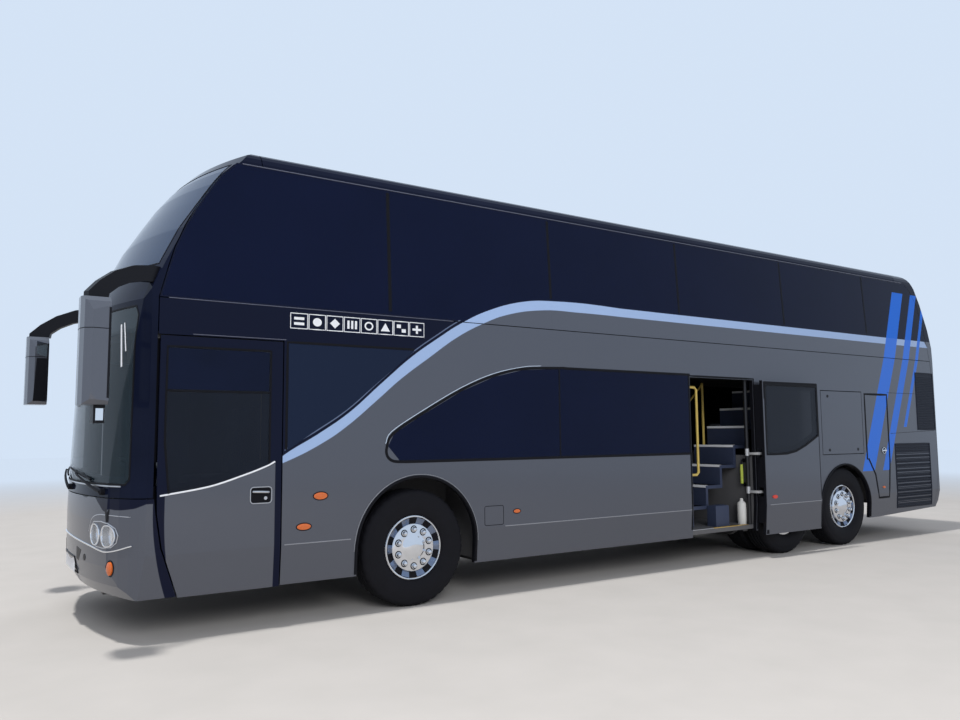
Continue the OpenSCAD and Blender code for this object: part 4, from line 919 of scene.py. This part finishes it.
@made("foot_box", "step")
def foot_box(bm):
    x0, y0, x1, y1 = AXLE - 4.46, 0.99, AXLE - 4.22, 1.125
    add_loops(bm, [[(x, y, z) for x, y in rect(x0 + d, y0 + d, x1 - d, y1 - d)]
                   for z, d in ((DECK, 0.0), (0.635, 0.0), (0.648, 0.004), (0.652, 0.014))])


@made("doorway_frame", "rubber")
def doorway_frame(bm):
    side_band(bm, [(-4.825, 0.42), (-4.825, 2.205), (-3.645, 2.205), (-3.645, 0.42)], 0.022, 0.004)
    add_box(bm, (AXLE - 4.812, 1.05, 2.2), (AXLE - 3.658, 1.222, 2.235))


made_of("sill_edge", "gold", add_box, (AXLE - 4.72, 1.15, SILL), (AXLE - 4.08, 1.204, 0.407))
made_of("sill_strip", "satin", add_box, (AXLE - 4.08, 1.172, SILL), (AXLE - 3.68, 1.204, 0.406))
made_of("doorway_grab_handle", "yellow", add_tube,
        [(AXLE + x, y, GRAB_Z + h) for x, y, h in GRAB + [(x, y, -h) for x, y, h in GRAB[::-1]]], 0.016, 12)


@made("sleeve_stem", "matt")
def stem(bm):
    add_tube(bm, [(STEM, 1.1, 0.872), (STEM, 1.1, 1.2)], 0.009)
    for z in (0.885, 1.185):
        add_tube(bm, [(AXLE - 4.8145, 1.1, z), (STEM, 1.1, z)], 0.008, 8)
        add_box(bm, (AXLE - 4.8148, 1.075, z - 0.025), (AXLE - 4.811, 1.125, z + 0.025))


made_of("lime_sleeve", "lime", add_tube, [(STEM, 1.1, z) for z in (0.9, 0.904, 1.135, 1.139)],
        [0.014, 0.019, 0.019, 0.014], 16)
made_of("cylinder_cover", "white", add_loops,
        [[(x, y, z) for x, y in oval(AXLE - 4.752, 1.085, r, r, 32)] for r, z in CYLINDER])


# Stairs: eight treads with light edges and ribbed mats
STAIRS = [(AXLE - 3.95 - 0.27 * i, DECK + 0.24375 * (i + 1)) for i in range(8)]
STAIR_EDGE = [(-0.034, 0.0006), (-0.034, 0.0036), (0.001, 0.0044), (0.0035, 0.001), (0.0035, -0.024),
              (0.0006, -0.024), (0.0006, 0.0006)]


@made("stair_edges", "film")
def stair_edges(bm):
    for x, z in STAIRS:
        add_loops(bm, [[(x + a, y, z + h) for a, h in STAIR_EDGE] for y in (0.343, 0.977)])


@made("stair_mats", "matt")
def stair_mats(bm):
    for x, z in STAIRS:
        for a in (x - 0.052 - 0.022 * k for k in range(9)):
            add_box(bm, (a - 0.012, 0.36, z + 0.0003), (a, 0.96, z + 0.0028))


# Service door: black seal, round handle and marker; luggage flap: locks
SERVICE = [(-7.79, 0.597), (-7.528, 0.597), (-7.462, 0.926), (-7.309, 1.15), (-7.272, 1.152),
           (-7.272, 2.068), (-7.848, 2.068), (-7.848, 1.102)]


@made("service_seal", "rubber", "service_door")
def service_seal(bm):
    side_band(bm, SERVICE, 0.03, 0.004, True)
    side_plate(bm, oval(-7.7, 1.262, 0.056, 0.05), 0.003)


@made("service_handle", "polish", "service_door")
def service_handle(bm):
    side_band(bm, oval(-7.7, 1.262, 0.046, 0.041), 0.01, 0.01, True)
    add_tube(bm, [on_side(x, 1.262, 1, out) for x, out in (
        (-7.672, 0.003), (-7.675, 0.02), (-7.725, 0.022), (-7.728, 0.003))], 0.011)


made_of("service_marker", "amber", side_plate, oval(-7.654, 0.741, 0.03, 0.016), 0.008, body="service_door")


@made("flap_locks", "matt", "luggage_flap")
def flap_locks(bm):
    for x, z in ((-6.385, 2.02), (-7.055, 1.29), (-6.385, 1.29)):
        side_plate(bm, oval(x, z, 0.02, 0.02, 20), 0.003)


# Front: bright line on the bumper, lamps, indicators, recesses, plate, screen foot. Outlines are y and z of
# the left half.
LAMPS, LAMP_Z = (1.0, 0.8, -1.0, -0.8), 0.79
BUMPER = [(0.0, 0.722), (0.4, 0.712), (0.7, 0.694), (0.9, 0.674), (1.0, 0.672), (1.1, 0.69),
          (1.17, 0.712), (1.215, 0.728)]
HOUSING = [(0.7, 0.765), (0.715, 0.845), (0.77, 0.885), (0.9, 0.895), (1.0, 0.885), (1.08, 0.85),
           (1.11, 0.8), (1.095, 0.745), (1.04, 0.708), (0.94, 0.696), (0.82, 0.7), (0.73, 0.72)]
BROW = smooth_line([(0.66, 0.8), (0.72, 0.905), (0.86, 0.945), (1.06, 0.945), (1.2, 0.94)], 4)
BOWL = [(0.066, -0.016), (0.06, -0.024), (0.046, -0.033), (0.026, -0.039), (0.012, -0.04), (0.012, -0.043)]
INDICATOR, INDICATOR_Z = 1.036, 0.55
RECESSES = [([(0.335, 0.655), (0.335, 0.56), (0.4, 0.545), (0.47, 0.64)][::-1], 0.0015),
            (oval(0.565, 0.59, 0.026, 0.026, 16), 0.003),
            ([(0.955, 0.99), (1.01, 0.99), (1.004, 0.895), (0.984, 0.895)][::-1], 0.0015)]
FRONT_PLATE = nose_x(0.0, 0.5) - 0.001


def half(pts, s):
    """An outline of the left half, or its mirror image run the same way round."""
    return [(s * y, z) for y, z in pts][::s]


made_of("bumper_line", "polish", nose_band, smooth_line(half(BUMPER, -1)[:-1] + BUMPER, 3), 0.014, 0.008)


@made("lamp_housings", "satin")
def lamp_housings(bm):
    for s in (1, -1):
        nose_band(bm, half(HOUSING, s), 0.008, 0.004, True)
        nose_band(bm, half(BROW, s), 0.005, 0.0012)


@made("lamp_rims", "polish")
def lamp_rims(bm):
    for y in LAMPS:
        nose_band(bm, oval(y, LAMP_Z, 0.079, 0.079, 40), 0.013, 0.011, True)


@made("lamp_bowls", "polish")
def lamp_bowls(bm):
    for y in LAMPS:
        x = nose_x(y, LAMP_Z)
        lean = math.copysign(0.2, y)
        add_loops(bm, [[(x + d - lean * c * r, y + r * c, LAMP_Z + r * q) for c, q in circle(32)]
                       for r, d in BOWL])
        add_tube(bm, [(x - d, y, LAMP_Z) for d in (0.038, 0.022, 0.018)], [0.014, 0.014, 0.005], 12)


@made("indicator_lenses", "amber")
def indicators(bm):
    for s in (1, -1):
        add_loops(bm, [[on_nose(s * y, z, d)
                        for y, z in oval(INDICATOR, INDICATOR_Z, 0.032 * f, 0.052 * f, 28)]
                       for d, f in ((0.0005, 1.0), (0.01, 0.95), (0.015, 0.72))])


@made("indicator_rims", "matt")
def indicator_rims(bm):
    for s in (1, -1):
        nose_band(bm, half(oval(INDICATOR, INDICATOR_Z, 0.038, 0.059, 28), s), 0.01, 0.004, True)


@made("nose_recesses", "matt")
def nose_recesses(bm):
    for s in (1, -1):
        for outline, out in RECESSES:
            nose_plate(bm, half(outline, s), out)


made_of("front_plate", "film", add_box, (FRONT_PLATE, -0.26, 0.44), (FRONT_PLATE + 0.006, 0.26, 0.552))
made_of("front_plate_frame", "matt", nose_band, rect(-0.27, 0.43, 0.27, 0.562), 0.016, 0.007, True)
made_of("screen_foot_strip", "satin", nose_band, [(0.4 * i, 1.166) for i in (-2.8, -2, -1, 0, 1, 2, 2.8)],
        0.012, 0.006)


@made("screen_rubber", "rubber")
def screen_rubber(bm):
    nose_band(bm, [(-1.15, 1.18), (1.15, 1.18), (1.185, 1.22), (1.195, 2.48), (1.15, 2.55),
                   (-1.15, 2.55), (-1.195, 2.48), (-1.185, 1.22)], 0.016, 0.003, True)
    nose_band(bm, [(-1.18, 2.896), (1.18, 2.896), (1.135, 3.6), (1.09, 3.82), (-1.09, 3.82),
                   (-1.135, 3.6)], 0.014, 0.003, True)


@made("wipers", "rubber")
def wipers(bm):
    for y0, z0 in ((0.92, 1.122), (0.02, 1.122)):
        add_tube(bm, [on_nose(y0, z0, d) for d in (-0.002, 0.03, 0.036)], [0.026, 0.024, 0.012], 14)
        y1, z1 = y0 - 0.6, 1.245
        arm = [on_nose(y, z, 0.03) for y, z in split([(y0, z0), (y1, z1)], 0.06)]
        add_tube(bm, arm, [0.013 - 0.006 * k / (len(arm) - 1) for k in range(len(arm))], 8)
        blade = [on_nose(y, z, 0.011)
                 for y, z in split([(y1 - 0.36, z1 + 0.035), (y1 + 0.36, z1 - 0.035)], 0.06)]
        add_tube(bm, blade, 0.008, 8)
        add_tube(bm, [arm[-1], blade[len(blade) // 2]], 0.007, 8)


@made("screen_slant_bars", "film")
def slant_bars(bm):
    for line, width in (([(0.955, 2.42), (1.045, 2.08)], 0.024),
                        ([(1.005, 2.43), (1.08, 2.2)], 0.016)):
        nose_band(bm, line, width, 0.0045, sunk=-0.003)


# Mirrors: side, place ahead of the front axle, foot and height of each head; then the heads' outline and
# that of the dark rim behind them, from the head's own middle
MIRRORS = [(1, 2.73, 1.77, 0.773), (-1, 2.865, 1.865, 0.675)]
MIRROR_Y = 1.405
HEAD = [(-0.095, -0.14), (0.025, -0.155), (0.075, -0.12), (0.095, -0.05), (0.095, 0.05),
        (0.075, 0.12), (0.025, 0.155), (-0.095, 0.14)]
REAR_RIM = [(-0.095, -0.14), (-0.08, -0.141875), (-0.08, 0.141875), (-0.095, 0.14)]
KERB_CASE = [(2.645, 1.37), (2.72, 1.375), (2.73, 1.4), (2.72, 1.46), (2.645, 1.46)]


def head_loop(m, z, out, outline=HEAD):
    """A level outline round a head, grown outwards."""
    s, x = m[:2]
    loop = []
    for a, b in outline:
        f = 1 + out / math.hypot(a + 0.02, b)
        loop.append((AXLE + x + (a + 0.02) * f - 0.02, s * (MIRROR_Y + b * f), z))
    return loop


def far_flank(bm, quad, depths):
    """A thin plate on the inner flank of the far head: place along, distance in, share of the height."""
    s, x, z0, h = MIRRORS[1]
    add_loops(bm, [[(AXLE + x + a, -MIRROR_Y + b + d, z0 + h * f) for a, b, f in quad] for d in depths])


@made("mirror_glasses", "mirror")
def mirror_glasses(bm):
    for s, x, z0, h in MIRRORS:
        for a, b in ((0.07, 0.62), (0.68, 0.92)):
            add_loops(bm, [[(AXLE + x - 0.0955 - d, s * (MIRROR_Y + u), z)
                            for u, z in rect(-w, z0 + h * a, w, z0 + h * b)]
                           for d, w in ((0.0, 0.108), (0.003, 0.106))])
    far_flank(bm, [(-0.078, 0.1435, 0.7), (0.01, 0.1545, 0.74), (0.014, 0.155, 0.93),
                   (-0.078, 0.1435, 0.9)], (0.0, 0.004))
    # kerb mirror under the near head: its glass, and a clear field on its outer flank
    add_loops(bm, [[(AXLE + 2.6445 - d, y, z) for y, z in rect(1.385, 1.655, 1.445, 1.745)]
                   for d in (0.0, 0.002)])
    add_loops(bm, [[(AXLE + x, 1.4605 + d, z) for x, z in rect(2.655, 1.66, 2.705, 1.745)]
                   for d in (0.0, 0.003)])


@made("mirror_rims", "matt")
def mirror_rims(bm):
    for m in MIRRORS:
        add_loops(bm, [head_loop(m, m[2] + m[3] * f, 0.0025, REAR_RIM) for f in (0.06, 0.5, 0.9)])
    far_flank(bm, [(0.03, 0.154, 0.05), (-0.08, 0.144, 0.05), (-0.08, 0.144, 0.68),
                   (0.01, 0.155, 0.68)], (-0.002, 0.002))
    add_loops(bm, [[(AXLE + x, y, z) for x, y in KERB_CASE] for z in (1.64, 1.655, 1.755, 1.772)])
    # knobs under the arms' roots
    for s in (1, -1):
        add_loops(bm, [[(x, s * (1.215 + d), z) for x, z in oval(AXLE + 2.245, 2.655, r, r, 16)]
                       for r, d in ((0.04, -0.03), (0.042, 0.0), (0.036, 0.022), (0.02, 0.036),
                                    (0.006, 0.04))])


@made("mirror_seams", "rubber")
def mirror_seams(bm):
    for m in MIRRORS:
        add_loops(bm, [head_loop(m, m[2] + m[3] * 0.7 + d, out)
                       for d, out in ((-0.003, 0.0), (-0.002, 0.0012), (0.002, 0.0012), (0.003, 0.0))])


# Rear: window border, hatch seal, plate and its recess, high lamp, handle, lamp frames, reflectors
made_of("tail_rubber", "rubber", tail_band,
        [(-0.95, 2.76), (0.95, 2.76), (0.9, 3.56), (-0.9, 3.56)], 0.05, 0.003, True)
made_of("hatch_seal", "rubber", tail_band, rect(-0.785, 0.655, 0.785, 1.685), 0.012, 0.003, True,
        body="engine_hatch")
made_of("plate_recess", "matt", tail_plate, -0.285, 1.19, 0.285, 1.345, 0.002, body="engine_hatch")
made_of("rear_plate", "film", tail_plate, -0.255, 1.212, 0.255, 1.322, 0.006, 0.001, body="engine_hatch")
made_of("high_stop_lamp", "red", tail_plate, -0.22, 2.6, 0.22, 2.64, 0.008)
made_of("hatch_handle", "satin", tail_band, [(-0.16, 0.76), (0.16, 0.76)], 0.026, 0.02, body="engine_hatch")


@made("tail_lamp_frames", "satin")
def tail_lamp_frames(bm):
    for y in (1.083, -1.083):
        for z0, z1 in ((0.758, 0.952), (0.968, 1.232), (1.248, 1.442)):
            tail_band(bm, [(y, z0), (y, z1)], 0.01, 0.008)


@made("tail_reflectors", "red")
def tail_reflectors(bm):
    for y in (1.0, -1.0):
        tail_plate(bm, y - 0.05, 0.48, y + 0.05, 0.52, 0.006)


# Seats: rounded cushions and backs in pairs on plain feet. Left seats leave room for the stairs.
SEAT_PITCH = 0.78
STAIRWELL = (-6.33, -3.7)
ROWS = [(-1.26 - SEAT_PITCH * i, DECK, s) for i in range(3) for s in (1, -1)]
ROWS += [(x, UPPER_DECK, s) for x in (0.9 - SEAT_PITCH * i for i in range(12)) for s in (1, -1)
         if s < 0 or not STAIRWELL[0] < x < STAIRWELL[1]]
# Sections: place along the seat or up the back, share of the half width, half height
CUSHION = [(0.0, 0.7, 0.02), (0.008, 0.92, 0.045), (0.04, 1.0, 0.062), (0.15, 1.0, 0.066),
           (0.25, 1.0, 0.068), (0.36, 1.0, 0.064), (0.415, 0.98, 0.052), (0.438, 0.92, 0.034),
           (0.444, 0.74, 0.014)]
BACK = [(0.0, 0.88, 0.02), (0.012, 0.97, 0.034), (0.06, 1.0, 0.043), (0.3, 1.0, 0.046), (0.5, 0.98, 0.044),
        (0.72, 0.92, 0.042), (0.84, 0.84, 0.043), (0.94, 0.8, 0.04), (0.985, 0.74, 0.026),
        (1.0, 0.55, 0.008)]
# Two feet and the beam on them: place along, place across, height above the deck, each from and to
FEET = [(0.13, 0.25, 0.42, 0.46, 0.0, 0.318), (0.13, 0.25, 1.0, 1.04, 0.0, 0.318),
        (0.02, 0.4, 0.3, 1.13, 0.3, 0.316)]


def pillow(bm, stations, power=3.6, sides=20):
    """Skins rounded sections: each is a middle, a half width across, a half height, and its upright way."""
    def swell(v):
        return math.copysign(abs(v) ** (2 / power), v)
    add_loops(bm, [[c + Vector((0, 1, 0)) * (wide * swell(p)) + up * (high * swell(q))
                    for p, q in circle(sides)] for c, wide, high, up in stations])


def add_seat(bm, x, y, z, w):
    pillow(bm, [(Vector((x + a, y, z + 0.375)), w * f, h, Vector((0, 0, 1))) for a, f, h in CUSHION])
    foot, top = Vector((x - 0.02, y, z + 0.445)), Vector((x - 0.108, y, z + 1.112))
    way = Vector((top.z - foot.z, 0, foot.x - top.x)).normalized()
    pillow(bm, [(foot.lerp(top, a), w * f, h, way) for a, f, h in BACK])


@made("seat_cushions", "cloth")
def seats(bm):
    for x, z, s in ROWS:
        for y in (0.4965, 0.9335):
            add_seat(bm, AXLE + x, s * y, z, 0.211)
    add_seat(bm, AXLE + 1.158, -0.66, 0.7203, 0.232)


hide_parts("seats")


@made("seat_feet", "steel")
def seat_feet(bm):
    for x, z, s in ROWS:
        for a, b, c, d, low, high in FEET:
            y0, y1 = sorted((s * c, s * d))
            add_box(bm, (AXLE + x + a, y0, z + low), (AXLE + x + b, y1, z + high))
    add_box(bm, (AXLE + 1.24, -0.8, 0.7503), (AXLE + 1.48, -0.52, 1.036))


# Floor: it takes the background's colour far away, where the camera, reflections or glass see it
SKY = (0.66, 0.77, 0.92)
bm = bmesh.new()
bmesh.ops.create_grid(bm, x_segments=1, y_segments=1, size=60.0)
me = bpy.data.meshes.new("floor")
bm.to_mesh(me)
bm.free()
floor = bpy.data.objects.new("floor", me)
bpy.context.scene.collection.objects.link(floor)
t = Tree("floor")
t.set(color=t.mix(t.noise(2.0, 5.0), (0.43, 0.415, 0.395), (0.49, 0.47, 0.45)), rough=0.9, spec=0.2)
x, y, z = t.xyz()
far = t.math("SQRT", t.add(t.mul(t.add(x, 3.0), t.add(x, 3.0)), t.mul(y, y)))
far = t.line(far, 1 / 14.0, -12.0 / 14.0, clamp=True)
far = t.math("SMOOTH_MIN", far, 1.0, 0.2)
rays = t.node("LightPath").outputs
seen = t.most(rays["Is Camera Ray"], t.most(rays["Is Glossy Ray"], rays["Is Transmission Ray"]))
glow = t.node("Emission")
t.put(glow.inputs[0], SKY)
both = t.node("MixShader")
for i, v in enumerate((t.mul(far, seen), t.bsdf.outputs[0], glow.outputs[0])):
    t.put(both.inputs[i], v)
t.put(t.t.nodes["Material Output"].inputs[0], both.outputs[0])
me.materials.append(t.mat)

# World: it lights the bus with one colour, and shows another to the camera, reflections and glass
world = bpy.data.worlds.new("studio")
bpy.context.scene.world = world
world.use_nodes = True
tree = world.node_tree
tree.nodes.clear()
out, mixer, light, seen, path, rays, more = (tree.nodes.new("ShaderNode" + kind) for kind in (
    "OutputWorld", "MixShader", "Background", "Background", "LightPath", "Math", "Math"))
for node, color, power in ((light, (0.86, 0.9, 1.0), 0.52), (seen, SKY, 1.0)):
    node.inputs[0].default_value = (*color, 1)
    node.inputs[1].default_value = power
rays.operation = "ADD"
more.operation, more.use_clamp = "ADD", True
for a, b in ((path.outputs["Is Camera Ray"], rays.inputs[0]), (path.outputs["Is Glossy Ray"], rays.inputs[1]),
             (rays.outputs[0], more.inputs[0]), (path.outputs["Is Transmission Ray"], more.inputs[1]),
             (more.outputs[0], mixer.inputs[0]), (light.outputs[0], mixer.inputs[1]),
             (seen.outputs[0], mixer.inputs[2]), (mixer.outputs[0], out.inputs[0])):
    tree.links.new(a, b)


def area(name, pos, aim, size_m, watts, tint=(1, 1, 1)):
    l = bpy.data.lights.new(name, "AREA")
    l.shape, l.size, l.energy, l.color = "DISK", size_m, watts, tint
    o = bpy.data.objects.new(name, l)
    o.location = pos
    o.rotation_euler = (Vector(aim) - Vector(pos)).to_track_quat("-Z", "Y").to_euler()
    o.visible_glossy = False
    bpy.context.scene.collection.objects.link(o)


area("key", (12.0, 1.2, 40.0), (0.0, 0, 0), 2.4, 14500, (1.0, 0.98, 0.95))
area("fill", (7.0, 15.0, 8.0), (0, 0, 1.5), 8.0, 1350, (0.97, 0.98, 1.0))
area("back", (-7.0, -14.0, 9.0), (0, 0, 2.0), 8.0, 900, (0.95, 0.97, 1.0))

bpy.context.scene.view_settings.view_transform = "Standard"
